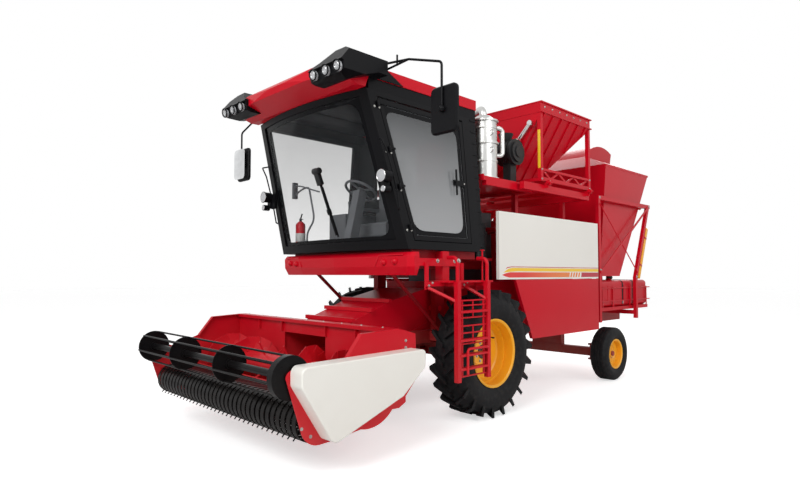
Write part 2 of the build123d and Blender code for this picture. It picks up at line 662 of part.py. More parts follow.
# Vine bin: side profile shelled, rim, hinge arms behind the rear wall
with BuildPart() as vine_bin:
    with BuildSketch(Plane.YZ.offset(-vine_half_w)):
        with BuildLine():
            Polyline((vine_front_top_y, vine_rim_z), (vine_rear_top_y, vine_rim_z), (vine_rear_low_y, vine_floor_z),
                     (vine_front_low_y, vine_floor_z), (vine_front_top_y, vine_rim_z))
        make_face()
    extrude(amount=2 * vine_half_w)
    top = vine_bin.faces().sort_by(Axis.Z)[-1]
    offset(amount=-vine_sheet, openings=top)
    for side in (-1, 1):
        x = side * 940
        with BuildSketch(Plane.YZ.offset(x - 8)):
            with BuildLine():
                Polyline((vine_rear(vine_hinge_z) - 5, vine_hinge_z), (vine_hinge_y - 20, vine_hinge_z + 15),
                         (vine_hinge_y - 20, vine_hinge_z - 15), (vine_rear(vine_hinge_z - 120) - 4, vine_hinge_z - 120),
                         (vine_rear(vine_hinge_z) - 5, vine_hinge_z))
            make_face()
        extrude(amount=16)
        rod((x - 8, vine_hinge_y, vine_hinge_z), (x + 8, vine_hinge_y, vine_hinge_z), 38)
        with Locations(Plane(origin=(x, vine_hinge_y, vine_hinge_z), z_dir=(1, 0, 0))):
            Cylinder(vine_hinge_r + bearing_fit, 40, mode=Mode.SUBTRACT)
    # rim beads and the ears beside the lifting cylinder eyes
    for side in (-1, 1):
        block(side * vine_half_w - 4, side * vine_half_w + 4, vine_front_top_y + 4, vine_rear_top_y, vine_rim_z - 30,
              vine_rim_z)
        block(side * vine_half_w - 4, side * vine_half_w + 4, vine_front_low_y + 100, vine_rear(2100) - 12, 2088, 2112)
        for off in (-38, 30):
            x = side * vine_cyl_x + off
            with BuildSketch(Plane.YZ.offset(x)):
                with BuildLine():
                    Polyline((vine_rear(vine_eye[1] + 90) - 5, vine_eye[1] + 90), (vine_eye[0] + 10, vine_eye[1] + 36),
                             (vine_eye[0] + 34, vine_eye[1]), (vine_eye[0] + 10, vine_eye[1] - 36),
                             (vine_rear(vine_eye[1] - 90) - 5, vine_eye[1] - 90),
                             (vine_rear(vine_eye[1] + 90) - 5, vine_eye[1] + 90))
                make_face()
            extrude(amount=8)
    block(-vine_half_w, vine_half_w, vine_rear_top_y - 6, vine_rear_top_y + 20, vine_rim_z - 8, vine_rim_z)
    # ears and pins of the lid hinge on the front rim
    for x in (-700, 700):
        with BuildSketch(Plane.YZ.offset(x)):
            with BuildLine():
                Polyline((vine_front_top_y + 1, vine_rim_z - 4), (vine_front_top_y - 8, vine_rim_z - 70),
                         (lid_hinge_y - 16, lid_hinge_z), (lid_hinge_y + 8, lid_hinge_z),
                         (vine_front_top_y + 1, vine_rim_z - 4))
            make_face()
        extrude(amount=10)
        rod((x, lid_hinge_y, lid_hinge_z), (x + 10, lid_hinge_y, lid_hinge_z), 16)
        rod((x - 16, lid_hinge_y, lid_hinge_z), (x + 5, lid_hinge_y, lid_hinge_z), lid_pin_r)
finish(vine_bin, "vine_bin")

# Fixed side frames of the vine bin
with BuildPart() as vine_frame:
    for side in (-1, 1):
        x = side * vine_frame_x
        bar((x, 1780, vine_hinge_z), (x, 3560, vine_hinge_z), 50, 60)
        bar((x, vine_hinge_y, vine_hinge_z), (x, 3010, 1480), 50, 60)
        bar((x, 1800, vine_hinge_z), (x, 1800, rail_top_z - 60), 50, 60)
        bar((x, 3010, 1500), (x, 3010, rail_top_z - 60), 50, 60)
        block(min(side * rail_x, x), max(side * rail_x, x), 1770, 1830, rail_top_z, rail_top_z + 60)
        block(min(side * rail_x, x), max(side * rail_x, x), 2980, 3040, rail_top_z, rail_top_z + 60)
        rod((side * 920, vine_hinge_y, vine_hinge_z), (x, vine_hinge_y, vine_hinge_z), vine_hinge_r)
        # wide and thin cross braces on the outer face
        outer = side * (vine_frame_x + 30)
        bar((outer, 3470, vine_hinge_z - 20), (outer, 1800, 1560), 10, 34)
        rod((outer, 1800, vine_hinge_z - 90), (outer, 3040, 1560), 8)
        bar((x, vine_hinge_y - 330, 1880), (x, vine_hinge_y - 400, 1790), 30, 60)
finish(vine_frame, "vine_frame")

# Lifting cylinders of the vine bin, on cross member ears
vine_span = sqrt((vine_eye[0] - vine_base[0]) ** 2 + (vine_eye[1] - vine_base[1]) ** 2)
vine_uy = (vine_eye[0] - vine_base[0]) / vine_span
vine_uz = (vine_eye[1] - vine_base[1]) / vine_span


def on_vine(x, distance):
    """Point on a vine bin cylinder's line, measured from its base pin."""
    return (x, vine_base[0] + vine_uy * distance, vine_base[1] + vine_uz * distance)


with BuildPart() as vine_barrels:
    for x in (-vine_cyl_x, vine_cyl_x):
        rod(on_vine(x, 30), on_vine(x, 980), 45)
        rod((x - 18, vine_base[0], vine_base[1]), (x + 18, vine_base[0], vine_base[1]), 38)
        with Locations(Plane(origin=on_vine(x, 600), z_dir=(0, vine_uy, vine_uz))):
            Cylinder(25.5, 900, mode=Mode.SUBTRACT)
        with Locations(Plane(origin=(x, vine_base[0], vine_base[1]), z_dir=(1, 0, 0))):
            Cylinder(16 + bearing_fit, 60, mode=Mode.SUBTRACT)
finish(vine_barrels, "vine_barrels")
with BuildPart() as vine_rods:
    for x in (-vine_cyl_x, vine_cyl_x):
        rod(on_vine(x, 170), on_vine(x, vine_span - 10), 25)
        rod((x - 18, vine_eye[0], vine_eye[1]), (x + 18, vine_eye[0], vine_eye[1]), 36)
finish(vine_rods, "vine_rods")

# Fuel tank with a raised panel and a filler neck, its shelf, rails and rack
tank_x = 1000
tank_front_y = 1960
tank_rear_y = 3560
tank_low_z = 1050
tank_top_z = 1450
with BuildPart() as fuel_tank:
    block(600, tank_x, tank_front_y, tank_rear_y, tank_low_z, tank_top_z)
    fillet(fuel_tank.edges().filter_by(Axis.Y), 60)
    fillet(fuel_tank.faces().sort_by(Axis.Y)[-1].edges(), 22)
    for y0, y1 in ((2180, 2640), (2720, 3020), (3100, 3380)):
        block(tank_x - 20, tank_x + 4, y0, y1, tank_low_z + 80, tank_top_z - 80)
    rod((860, 2500, tank_top_z - 10), (876, 2500, tank_top_z + 36), 42)
finish(fuel_tank, "fuel_tank")
with BuildPart() as tank_rack:
    block(rail_x + rail_w / 2, tank_x + 21, tank_front_y, tank_rear_y, tank_low_z - 50, tank_low_z)
    for y in (2100, 3300):
        block(rail_x + rail_w / 2 - 60, rail_x + rail_w / 2, y, y + 100, rail_top_z, tank_low_z)
    for y in (tank_front_y + 30, 2330, 2900, tank_rear_y - 40):
        block(tank_x + 9, tank_x + 21, y - 12, y + 12, tank_low_z - 50, tank_low_z + 300)
    for z in (tank_low_z + 90, tank_low_z + 280):
        rod((tank_x + 15, tank_front_y, z), (tank_x + 15, tank_rear_y + 90, z), 9)
finish(tank_rack, "tank_rack")

# Header: trough, end plates with their edge flanges, back beam and ribs
trough_r = auger_r + auger_room
plate_r = trough_r + 72
back_y = auger_y + trough_r
lip = (auger_y - trough_r * cos(radians(15)), auger_z - trough_r * sin(radians(15)))
lip_end_y = lip[0] - 36


def plate_rim(y, sign=-1):
    """Height of the end plate's round belly at y."""
    return auger_z + sign * sqrt(plate_r ** 2 - (y - auger_y) ** 2)


with BuildPart() as header_frame:
    with BuildSketch(Plane.YZ.offset(-header_half)):
        with BuildLine() as floor_line:
            Line((lip_end_y, lip[1]), lip)
            ThreePointArc(lip, (auger_y, auger_z - trough_r), (back_y, auger_z))
            Line((back_y, auger_z), (back_y, beam_top_z))
            Line((back_y, beam_top_z), (back_y + plate_t, beam_top_z))
            Line((back_y + plate_t, beam_top_z), (back_y + plate_t, auger_z))
            ThreePointArc((back_y + plate_t, auger_z), (auger_y, auger_z - trough_r - plate_t),
                          (auger_y - (trough_r + plate_t) * cos(radians(15)),
                           auger_z - (trough_r + plate_t) * sin(radians(15))))
            Line((auger_y - (trough_r + plate_t) * cos(radians(15)),
                  auger_z - (trough_r + plate_t) * sin(radians(15))), (lip_end_y, lip[1] - plate_t))
            Line((lip_end_y, lip[1] - plate_t), (lip_end_y, lip[1]))
        make_face()
    extrude(amount=2 * header_half)
    # opening into the feeder
    block(-feeder_half + 20, feeder_half - 20, back_y - 10, back_y + 30, 400, feeder_mouth_z - 15, mode=Mode.SUBTRACT)
    # top back beam with its sloped front lip
    with BuildSketch(Plane.YZ.offset(-header_half)):
        with BuildLine():
            Polyline((back_y + plate_t, beam_low_edge_z), (back_y + plate_t + 90, beam_low_edge_z),
                     (back_y + plate_t + 90, beam_top_z - 20), (back_y + plate_t + 60, beam_top_z + 8),
                     (back_y - 34, beam_top_z + 8), (back_y - 34, beam_top_z - 26), (back_y - 28, beam_top_z - 26),
                     (back_y - 28, beam_top_z), (back_y + plate_t, beam_top_z), (back_y + plate_t, beam_low_edge_z))
        make_face()
    extrude(amount=2 * header_half)
    # ribs on the back wall beside the feeder mouth
    for x in (-feeder_half - 10, feeder_half + 2, -feeder_half - 470, feeder_half + 462):
        block(x, x + plate_t, back_y - 28, back_y, auger_z + 300, beam_top_z)
    for side in (-1, 1):
        near = header_half if side > 0 else -header_half - plate_t
        belly = (auger_y - 90, plate_rim(auger_y - 90))
        heel = (auger_y + 260, plate_rim(auger_y + 260))
        with BuildSketch(Plane.YZ.offset(near)):
            with BuildLine():
                Polyline(heel, (heel[0] + 80, heel[1] - 2), (back_y + 140, auger_z - 200), (back_y + 140, auger_z - 150),
                         (back_y + 275, auger_z - 15), (back_y + 262, beam_top_z - 50), (back_y + 120, beam_top_z - 8),
                         (back_y + 10, beam_top_z + 8), (auger_y - 80, beam_top_z - 8), (auger_y - 240, auger_z + 225),
                         (reel_y + 220, reel_z - 20), (reel_y + 40, reel_z + 42))
                ThreePointArc((reel_y + 40, reel_z + 42), (reel_y - 16, reel_z + 56), (reel_y - 58, reel_z))
                Line((reel_y - 58, reel_z), (pickup_y - 122, pickup_z - 50))
                ThreePointArc((pickup_y - 122, pickup_z - 50), (pickup_y - 66, pickup_z - 132),
                              (pickup_y + 40, pickup_z - 168))
                Line((pickup_y + 40, pickup_z - 168), (pickup_y + 190, pickup_z - 162))
                Line((pickup_y + 190, pickup_z - 162), belly)
                ThreePointArc(belly, (auger_y + 90, plate_rim(auger_y + 90)), heel)
            make_face()
        extrude(amount=plate_t)
        # flanges turned in along the top edge and the sloped edge
        x = side * (header_half - edge_flange / 2 + plate_t)
        bar((x, back_y + 10, beam_top_z + 4), (x, auger_y - 80, beam_top_z - 12), edge_flange, 8)
        bar((x, auger_y - 80, beam_top_z - 12), (x, auger_y - 238, auger_z + 226), edge_flange, 8)
        # skid under the trough
        skid_x = side * (header_half - 190)
        bar((skid_x, auger_y - 60, auger_z - trough_r - 30), (skid_x, back_y - 30, auger_z - 238), 60, 8)
        block(skid_x - 4, skid_x + 4, auger_y - 40, auger_y + 60, auger_z - trough_r - 26, auger_z - trough_r - 4)
        block(skid_x - 4, skid_x + 4, back_y - 80, back_y - 40, auger_z - 262, auger_z - 160)
    # bores for the reel, pickup and auger shafts
    for y, z, r in ((reel_y, reel_z, reel_stub_r), (pickup_y, pickup_z, pickup_stub_r),
                    (auger_y, auger_z, auger_stub_r)):
        with Locations(Plane(origin=(0, y, z), z_dir=(1, 0, 0))):
            Cylinder(r + bearing_fit, 2 * header_half + 100, mode=Mode.SUBTRACT)
finish(header_frame, "header_frame")

# Cream drive cover on the left end, a moulded shell open toward the end plate
with BuildPart() as header_cover:
    with BuildSketch(Plane.YZ.offset(header_half + plate_t)) as cover_face:
        with BuildLine():
            Polyline((reel_y - 20, reel_z - 52), (reel_y - 20, reel_z + 94), (back_y + 245, reel_z + 112),
                     (back_y + 238, auger_z + 105), (auger_y + 254, auger_z - 103), (auger_y - 467, auger_z - 356),
                     (reel_y - 20, reel_z - 52))
        make_face()
        # the sketch's own x runs along Y and its y runs along Z
        fillet(cover_face.vertices().sort_by(Axis.X)[:2], 58)
        fillet(cover_face.vertices().sort_by(Axis.Y)[0], 62)
        fillet(cover_face.vertices().sort_by(Axis.X)[-2:], 42)
    extrude(amount=cover_t)
    fillet(header_cover.faces().sort_by(Axis.X)[-1].edges(), 12)
    offset(amount=-cover_wall, openings=header_cover.faces().sort_by(Axis.X)[0])
finish(header_cover, "header_cover")

# Pickup bands with the strips that join them
with BuildPart() as pickup_bands:
    with BuildSketch(Plane.YZ.offset(-band_w / 2)) as band_face:
        with BuildLine():
            Line((lip_end_y, lip[1]), (pickup_y, pickup_z + band_r))
            ThreePointArc((pickup_y, pickup_z + band_r), (pickup_y - band_r, pickup_z), (pickup_y, pickup_z - band_r))
            Line((pickup_y, pickup_z - band_r), (lip_end_y, pickup_z - band_r))
            Line((lip_end_y, pickup_z - band_r), (lip_end_y, pickup_z - band_r + band_t))
            Line((lip_end_y, pickup_z - band_r + band_t), (pickup_y, pickup_z - band_r + band_t))
            ThreePointArc((pickup_y, pickup_z - band_r + band_t), (pickup_y - band_r + band_t, pickup_z),
                          (pickup_y, pickup_z + band_r - band_t))
            Line((pickup_y, pickup_z + band_r - band_t), (lip_end_y, lip[1] - band_t))
            Line((lip_end_y, lip[1] - band_t), (lip_end_y, lip[1]))
        make_face()
    with Locations(*[((i - (band_count - 1) / 2) * band_pitch, 0, 0) for i in range(band_count)]):
        add(extrude(band_face.sketch, amount=band_w, mode=Mode.PRIVATE))
    block(-header_half, header_half, lip_end_y - 8, lip_end_y, pickup_z - band_r, lip[1])
finish(pickup_bands, "pickup_bands")

# Tined pickup rotor
with BuildPart() as pickup_rotor:
    rod((-header_half + 10, pickup_y, pickup_z), (header_half - 10, pickup_y, pickup_z), 28)
    rod((-header_half - plate_t, pickup_y, pickup_z), (header_half + plate_t, pickup_y, pickup_z), pickup_stub_r)
    for x in (-1300, -band_pitch * 8.5 - 5, -5, band_pitch * 8.5 - 5, 1290):
        rod((x, pickup_y, pickup_z), (x + 10, pickup_y, pickup_z), tine_bar_r + 18)
    for k in range(tine_bars):
        turn = radians(360 * (k + 0.5) / tine_bars)
        y = pickup_y + tine_bar_r * cos(turn)
        z = pickup_z + tine_bar_r * sin(turn)
        rod((-1300, y, z), (1300, y, z), 11)
        reach = tine_r - tine_bar_r
        middle = tine_bar_r + reach / 2
        spots = [Plane(origin=((i - (band_count - 2) / 2) * band_pitch, pickup_y + middle * cos(turn),
                               pickup_z + middle * sin(turn)), x_dir=(1, 0, 0), z_dir=(0, cos(turn), sin(turn)))
                 for i in range(band_count - 1)]
        with Locations(*spots):
            Box(8, 8, reach)
finish(pickup_rotor, "pickup_rotor")

# Auger: tube, opposed flights built of short tilted sectors, and retracting fingers at the middle
with BuildPart() as auger:
    # the tube is rolled with flats, which the flight's steps are welded to
    with BuildSketch(Plane.YZ.offset(-header_half + 12)):
        with Locations((auger_y, auger_z)):
            RegularPolygon(auger_tube_r, 2 * flight_steps)
    extrude(amount=2 * header_half - 24)
    rod((-header_half - plate_t, auger_y, auger_z), (header_half + plate_t, auger_y, auger_z), auger_stub_r)
    step_angle = 2 * pi / flight_steps
    chord = 2 * auger_r * sin(step_angle / 2) + 6
    # the corners of a flight's steps lie on the auger's outer circle
    flight_edge = sqrt(auger_r ** 2 - (chord / 2) ** 2)
    flight_h = flight_edge - auger_tube_r + 6
    flight_mid = flight_edge - flight_h / 2
    rise = flight_pitch / flight_steps
    spots = []
    for side in (-1, 1):
        for i in range(flight_steps * flight_turns):
            turn = i * step_angle
            outward = Vector(0, cos(turn), sin(turn))
            around = Vector(0, -sin(turn), cos(turn))
            travel = (around * (step_angle * flight_mid) + Vector(side * rise, 0, 0)).normalized()
            middle = Vector(side * (flight_start + (i + 0.5) * rise), auger_y, auger_z) + outward * flight_mid
            spots.append(Plane(origin=middle, x_dir=travel, z_dir=outward))
    with Locations(*spots):
        Box(chord, 5, flight_h)
    # fingers in the middle, on four sides of the tube
    for k in range(7):
        turn = radians(90 * k + 25)
        x = -flight_start + 60 + k * 110
        rod((x, auger_y, auger_z), (x, auger_y + (auger_r - 10) * cos(turn), auger_z + (auger_r - 10) * sin(turn)),
            finger_r)
finish(auger, "auger")

# Reel: three thin discs, a deep end cap, tube and bars
with BuildPart() as reel:
    rod((-header_half + 30, reel_y, reel_z), (header_half - 30, reel_y, reel_z), reel_tube_r)
    rod((-header_half, reel_y, reel_z), (header_half, reel_y, reel_z), reel_stub_r)
    for x in (-header_half + 45, -500, 380):
        rod((x - 3, reel_y, reel_z), (x + 3, reel_y, reel_z), reel_r)
        rod((x - 22, reel_y, reel_z), (x + 22, reel_y, reel_z), reel_tube_r + 12)
    rod((header_half - 78, reel_y, reel_z), (header_half - 12, reel_y, reel_z), reel_r + 8)
    for k in range(reel_bars):
        turn = 2 * pi * (k + 0.2) / reel_bars
        y = reel_y + (reel_r - 6) * cos(turn)
        z = reel_z + (reel_r - 6) * sin(turn)
        rod((-header_half + 30, y, z), (header_half - 30, y, z), 9)
finish(reel, "reel")

# Feeder house with its top ribs, lid plate and pivot pins
with BuildPart() as feeder_house:
    mouth_low_z = auger_z - trough_r - plate_t + 3
    with BuildSketch(Plane.YZ.offset(-feeder_half)):
        with BuildLine():
            Polyline((back_y + plate_t, mouth_low_z), (back_y + plate_t, feeder_mouth_z), (pivot_y - 620, pivot_z + 100),
                     (pivot_y - 90, pivot_z + 220), (pivot_y + 210, pivot_z + 220), (pivot_y + 240, pivot_z - 210),
                     (back_y + plate_t, mouth_low_z))
        make_face()
    extrude(amount=2 * feeder_half)
    with BuildSketch(Plane.YZ.offset(-feeder_half + feeder_sheet)):
        with BuildLine():
            Polyline((back_y - 20, mouth_low_z + 5), (back_y - 20, feeder_mouth_z - 14),
                     (back_y + plate_t + 40, feeder_mouth_z - 2), (pivot_y - 618, pivot_z + 92),
                     (pivot_y - 89, pivot_z + 212), (pivot_y + 310, pivot_z + 212), (pivot_y + 310, pivot_z - 190),
                     (back_y - 20, mouth_low_z + 5))
        make_face()
    extrude(amount=2 * (feeder_half - feeder_sheet), mode=Mode.SUBTRACT)
    # angle irons across the top and a wear rail along each side
    for share in (0.36, 0.66, 0.95):
        y = back_y + plate_t + share * (pivot_y - 620 - back_y - plate_t)
        z = feeder_mouth_z + share * (pivot_z + 100 - feeder_mouth_z)
        block(-feeder_half - 30, feeder_half + 30, y - 22, y + 22, z - 2, z + 38)
    for side in (-1, 1):
        x = side * (feeder_half + 4)
        bar((x, back_y + 60, auger_z - 120), (x, pivot_y + 180, pivot_z - 110), 10, 44)
        rod((side * (feeder_half - feeder_sheet), pivot_y, pivot_z), (side * (rail_x + rail_w / 2), pivot_y, pivot_z),
            pivot_r)
finish(feeder_house, "feeder_house")

# Lift cylinders of the header
lift_span = sqrt((lift_eye[0] - lift_base[0]) ** 2 + (lift_eye[1] - lift_base[1]) ** 2)
lift_uy = (lift_eye[0] - lift_base[0]) / lift_span
lift_uz = (lift_eye[1] - lift_base[1]) / lift_span


def on_lift(x, distance):
    """Point on a header lift cylinder's line, measured from its base pin."""
    return (x, lift_base[0] + lift_uy * distance, lift_base[1] + lift_uz * distance)


with BuildPart() as lift_barrels:
    for x in (-lift_cyl_x, lift_cyl_x):
        rod(on_lift(x, 25), on_lift(x, 640), 38)
        rod((x - 15, lift_base[0], lift_base[1]), (x + 15, lift_base[0], lift_base[1]), 32)
        with Locations(Plane(origin=on_lift(x, 420), z_dir=(0, lift_uy, lift_uz))):
            Cylinder(20.5, 600, mode=Mode.SUBTRACT)
        with Locations(Plane(origin=(x, lift_base[0], lift_base[1]), z_dir=(1, 0, 0))):
            Cylinder(14 + bearing_fit, 60, mode=Mode.SUBTRACT)
finish(lift_barrels, "lift_barrels")
with BuildPart() as lift_rods:
    for x in (-lift_cyl_x, lift_cyl_x):
        rod(on_lift(x, 170), on_lift(x, lift_span - 10), 20)
        rod((x - 15, lift_eye[0], lift_eye[1]), (x + 15, lift_eye[0], lift_eye[1]), 30)
finish(lift_rods, "lift_rods")

# Bumper under the cab, a faceted moulded shell open at the back, with two round domes near each end
bumper_levels = (
    # height, setback in Y, setback in X
    (bumper_low_z, 34, 34),
    (bumper_low_z + 82, 6, 0),
    (bumper_high_z - 40, 0, 0),
    (bumper_high_z, 30, 6),
)


def bumper_solid(shell):
    with BuildPart(mode=Mode.PRIVATE) as solid:
        for low, high in zip(bumper_levels, bumper_levels[1:]):
            for z, back, side_in in (low, high):
                half, front_y = skirt_x - side_in - shell, cab_front_y + back + shell
                with BuildSketch(Plane.XY.offset(z)):
                    with BuildLine():
                        Polyline((half, cab_frame_y), (half, front_y + 50), (half - 60, front_y + 5),
                                 (660, front_y - 35), (0, front_y - 60), (-660, front_y - 35),
                                 (-half + 60, front_y + 5), (-half, front_y + 50), (-half, cab_frame_y),
                                 (half, cab_frame_y))
                    make_face()
            loft(ruled=True)
    return solid.part


with BuildPart() as bumper:
    add(bumper_solid(0))
    add(bumper_solid(8), mode=Mode.SUBTRACT)
    for side in (-1, 1):
        # bracket to the cab's frame, and the skirt beside it
        block(side * 800 - 30, side * 800 + 30, cab_front_y, cab_frame_y - 0.3, bumper_low_z + 165, bumper_low_z + 208)
        skirt = side * (skirt_x - 4)
        block(skirt - 4, skirt + 4, cab_frame_y - 20, cab_rear_y - 380, bumper_low_z + 90, bumper_high_z - 60)
        for x, z in ((760, bumper_low_z + 128), (905, bumper_low_z + 136)):
            face_y = cab_front_y - 35 + (x - 660) / (skirt_x - 720) * 40
            with Locations((side * x, face_y + 4, z)):
                Sphere(dome_r)
        # raised brow round the domes
        bar((side * 640, cab_front_y - 34, bumper_low_z + 92), (side * 700, cab_front_y - 28, bumper_low_z + 196),
            14, 12)
        bar((side * 700, cab_front_y - 28, bumper_low_z + 196), (side * 1010, cab_front_y, bumper_low_z + 200),
            12, 14, side=(0, 0, 1))
finish(bumper, "bumper")


def cab_block(inset, low, high):
    """Cab volume between two heights, all walls moved inward by inset; kept out of the part being built."""
    with BuildPart(mode=Mode.PRIVATE) as volume:
        for z in (low, high):
            share = (z - cab_floor_z) / (cab_top_z - cab_floor_z)
            half = cab_half_w + share * (cab_top_half_w - cab_half_w) - inset
            front = cab_front_y - share * cab_lean + inset
            rear = cab_rear_y - inset
            with BuildSketch(Plane.XY.offset(z)):
                with BuildLine():
                    Line((-half, front), (-half, rear))
                    Line((-half, rear), (half, rear))
                    Line((half, rear), (half, front))
                    ThreePointArc((half, front), (0, front - cab_bulge), (-half, front))
                make_face()
        loft(ruled=True)
    return volume.part


def side_opening(y_rear, inset, top_inset=0):
    """Side profile of the door and side window opening, as y, z corners."""
    rise = cab_top_z - cab_floor_z
    corners = []
    for z in (cab_floor_z + 60 + inset, cab_top_z - 50 - inset - top_inset):
        share = (z - cab_floor_z) / rise
        corners.append((cab_front_y + side_front - share * cab_lean + inset, z))
    low, high = corners
    return [low, high, (y_rear - inset, high[1]), (y_rear - inset, low[1]), low]


def hinge_point(z):
    """Point on the door's hinge line at a height."""
    share = (z - cab_floor_z) / (cab_top_z - cab_floor_z)
    half = cab_half_w + share * (cab_top_half_w - cab_half_w)
    return Vector(half + hinge_out, cab_front_y + side_front - share * cab_lean - hinge_back, z)


hinge_line = hinge_point(cab_top_z) - hinge_point(cab_floor_z)
hinge_dir = hinge_line.normalized()
side_rear_y = cab_rear_y - 140

# Corner fittings of the cab: corrugated rear duct, work lamps and grab rail
with BuildPart() as cab_corners:
    for side in (-1, 1):
        duct_low = Vector(side * 1000, cab_rear_y + 44, cab_floor_z + 30)
        duct_high = Vector(side * 880, cab_rear_y + 44, roof_band_z - 12)
        bar(duct_low, duct_high, 104, 90)
        for step in range(1, 12):
            ring = duct_low + (duct_high - duct_low) * (step / 12)
            bar(ring, ring + (duct_high - duct_low) * 0.012, 116, 102)
        # round work lamp, small lamp and grab rail on the front pillar
        x, y, z = side * pillar_lamp[0], pillar_lamp[1], pillar_lamp[2]
        rod((x, y + 90, z), (x, y, z), 60)
        rod((x, y, z), (x, y - 8, z), 66)
        rod((x + side * 16, y + 78, z - 122), (x + side * 16, y + 4, z - 122), 34)
        bar((x - side * 60, y + 100, z - 135), (x - side * 60, y + 100, z + 40), 90, 36)
        bar((x - side * 8, y + 70, z - 130), (x - side * 8, y + 70, z + 20), 60, 12)
        add(pipe([(side * x, y, z) for x, y, z in rail_points], 9, 8))

# Cab shell: floor, pillars, rear wall and right side, windows and door cut out
with BuildPart() as cab_shell:
    add(cab_block(0, cab_floor_z - 20, cab_top_z))
    add(cab_block(cab_wall, cab_floor_z + 30, cab_top_z + 0.01), mode=Mode.SUBTRACT)
    # door and right window
    with BuildSketch(Plane.YZ.offset(-1300)):
        with BuildLine():
            Polyline(*side_opening(side_rear_y, 0))
        make_face()
    extrude(amount=2600, mode=Mode.SUBTRACT)
    # windscreen
    with BuildSketch(Plane.XZ.offset(2000)):
        with BuildLine():
            Polyline((-960, cab_floor_z + 70), (960, cab_floor_z + 70), (840, cab_top_z - 60),
                     (-840, cab_top_z - 60), (-960, cab_floor_z + 70))
        make_face()
    extrude(amount=900, mode=Mode.SUBTRACT)
    # rear window
    block(-600, 600, cab_rear_y - 100, cab_rear_y + 50, 2500, 3100, mode=Mode.SUBTRACT)
    # fixed halves of the door hinges, with their pins
    for z in hinge_heights:
        low = hinge_point(z)
        rod(low, low + hinge_dir * hinge_h, hinge_r)
        rod(low, low + hinge_dir * (2 * hinge_h + 1), hinge_pin_r)
        middle = low + hinge_dir * (hinge_h / 2)
        bar(middle - Vector(hinge_out + 12, 0, 0), middle, 20, hinge_h - 10, side=(0, 1, 0))
    # band under the roof
    block(-cab_top_half_w, cab_top_half_w, cab_front_y - cab_lean + 26, cab_rear_y + 98, cab_top_z, roof_band_z)
    block(-cab_top_half_w + 60, cab_top_half_w - 60, cab_front_y - cab_lean + 90, cab_rear_y + 40, cab_top_z - 5,
          roof_band_z + 5, mode=Mode.SUBTRACT)
    add(cab_corners.part)
finish(cab_shell, "cab_shell")


# Windscreen, right window and rear window
with BuildPart() as cab_glass:
    add(cab_block(15, cab_floor_z, cab_top_z))
    add(cab_block(15 + glass_t, cab_floor_z - 1, cab_top_z + 1), mode=Mode.SUBTRACT)
    with BuildPart(mode=Mode.PRIVATE) as keep:
        with BuildSketch(Plane.XZ.offset(2000)):
            with BuildLine():
                Polyline((-959.7, cab_floor_z + 70.3), (959.7, cab_floor_z + 70.3), (839.7, cab_top_z - 60.3),
                         (-839.7, cab_top_z - 60.3), (-959.7, cab_floor_z + 70.3))
            make_face()
        extrude(amount=900)
        with BuildSketch(Plane.YZ.offset(-1300)):
            with BuildLine():
                Polyline(*side_opening(side_rear_y, 0.3))
            make_face()
        extrude(amount=800)
        block(-599.7, 599.7, cab_rear_y - 100, cab_rear_y + 50, 2500.3, 3099.7)
    add(keep.part, mode=Mode.INTERSECT)
finish(cab_glass, "cab_glass")

# Door: frame and glass
with BuildPart() as door_frame:
    add(cab_block(0, cab_floor_z, cab_top_z))
    add(cab_block(34, cab_floor_z - 1, cab_top_z + 1), mode=Mode.SUBTRACT)
    with BuildPart(mode=Mode.PRIVATE) as keep:
        with BuildSketch(Plane.YZ.offset(500)):
            with BuildLine():
                Polyline(*side_opening(side_rear_y, door_gap, door_top_gap - door_gap))
            make_face()
        extrude(amount=800)
        with BuildSketch(Plane.YZ.offset(500)):
            with BuildLine():
                Polyline(*side_opening(side_rear_y, door_gap + door_frame_w, door_top_gap - door_gap))
            make_face()
        extrude(amount=800, mode=Mode.SUBTRACT)
    add(keep.part, mode=Mode.INTERSECT)
    # moving halves of the hinges, with straps onto the frame
    for z in hinge_heights:
        low = hinge_point(z) + hinge_dir * (hinge_h + 1)
        middle = low + hinge_dir * (hinge_h / 2)
        rod(low, low + hinge_dir * hinge_h, hinge_r)
        bar(middle + Vector(-hinge_out + 8, 0, 0), middle + Vector(-hinge_out + 8, 80, 0), 12, hinge_h - 10)
        bar(middle + Vector(-hinge_out - 8, hinge_back + 40, 0), middle + Vector(-hinge_out + 8, hinge_back + 40, 0),
            36, hinge_h - 10, side=(0, 1, 0))
        with Locations(Plane(origin=middle, z_dir=hinge_dir)):
            Cylinder(hinge_pin_r + 0.3, 2 * hinge_h, mode=Mode.SUBTRACT)
    # lock plate and upright handle on the rear stile
    bar((1014, side_rear_y - 30, 2505), (1014, side_rear_y - 225, 2505), 16, 56)
    for low, high in (((1026, side_rear_y - 215, 2370), (1014, side_rear_y - 215, 2640)),):
        rod((low[0] + 26, low[1], low[2]), (high[0] + 26, high[1], high[2]), 11)
    bar((1010, side_rear_y - 215, 2505), (1050, side_rear_y - 215, 2505), 18, 26, side=(0, 1, 0))
finish(door_frame, "door_frame")
with BuildPart() as door_glass:
    add(cab_block(12, cab_floor_z, cab_top_z))
    add(cab_block(12 + glass_t, cab_floor_z - 1, cab_top_z + 1), mode=Mode.SUBTRACT)
    with BuildPart(mode=Mode.PRIVATE) as keep:
        with BuildSketch(Plane.YZ.offset(500)):
            with BuildLine():
                Polyline(*side_opening(side_rear_y, door_gap + door_frame_w + 0.3, door_top_gap - door_gap))
            make_face()
        extrude(amount=800)
    add(keep.part, mode=Mode.INTERSECT)
finish(door_glass, "door_glass")

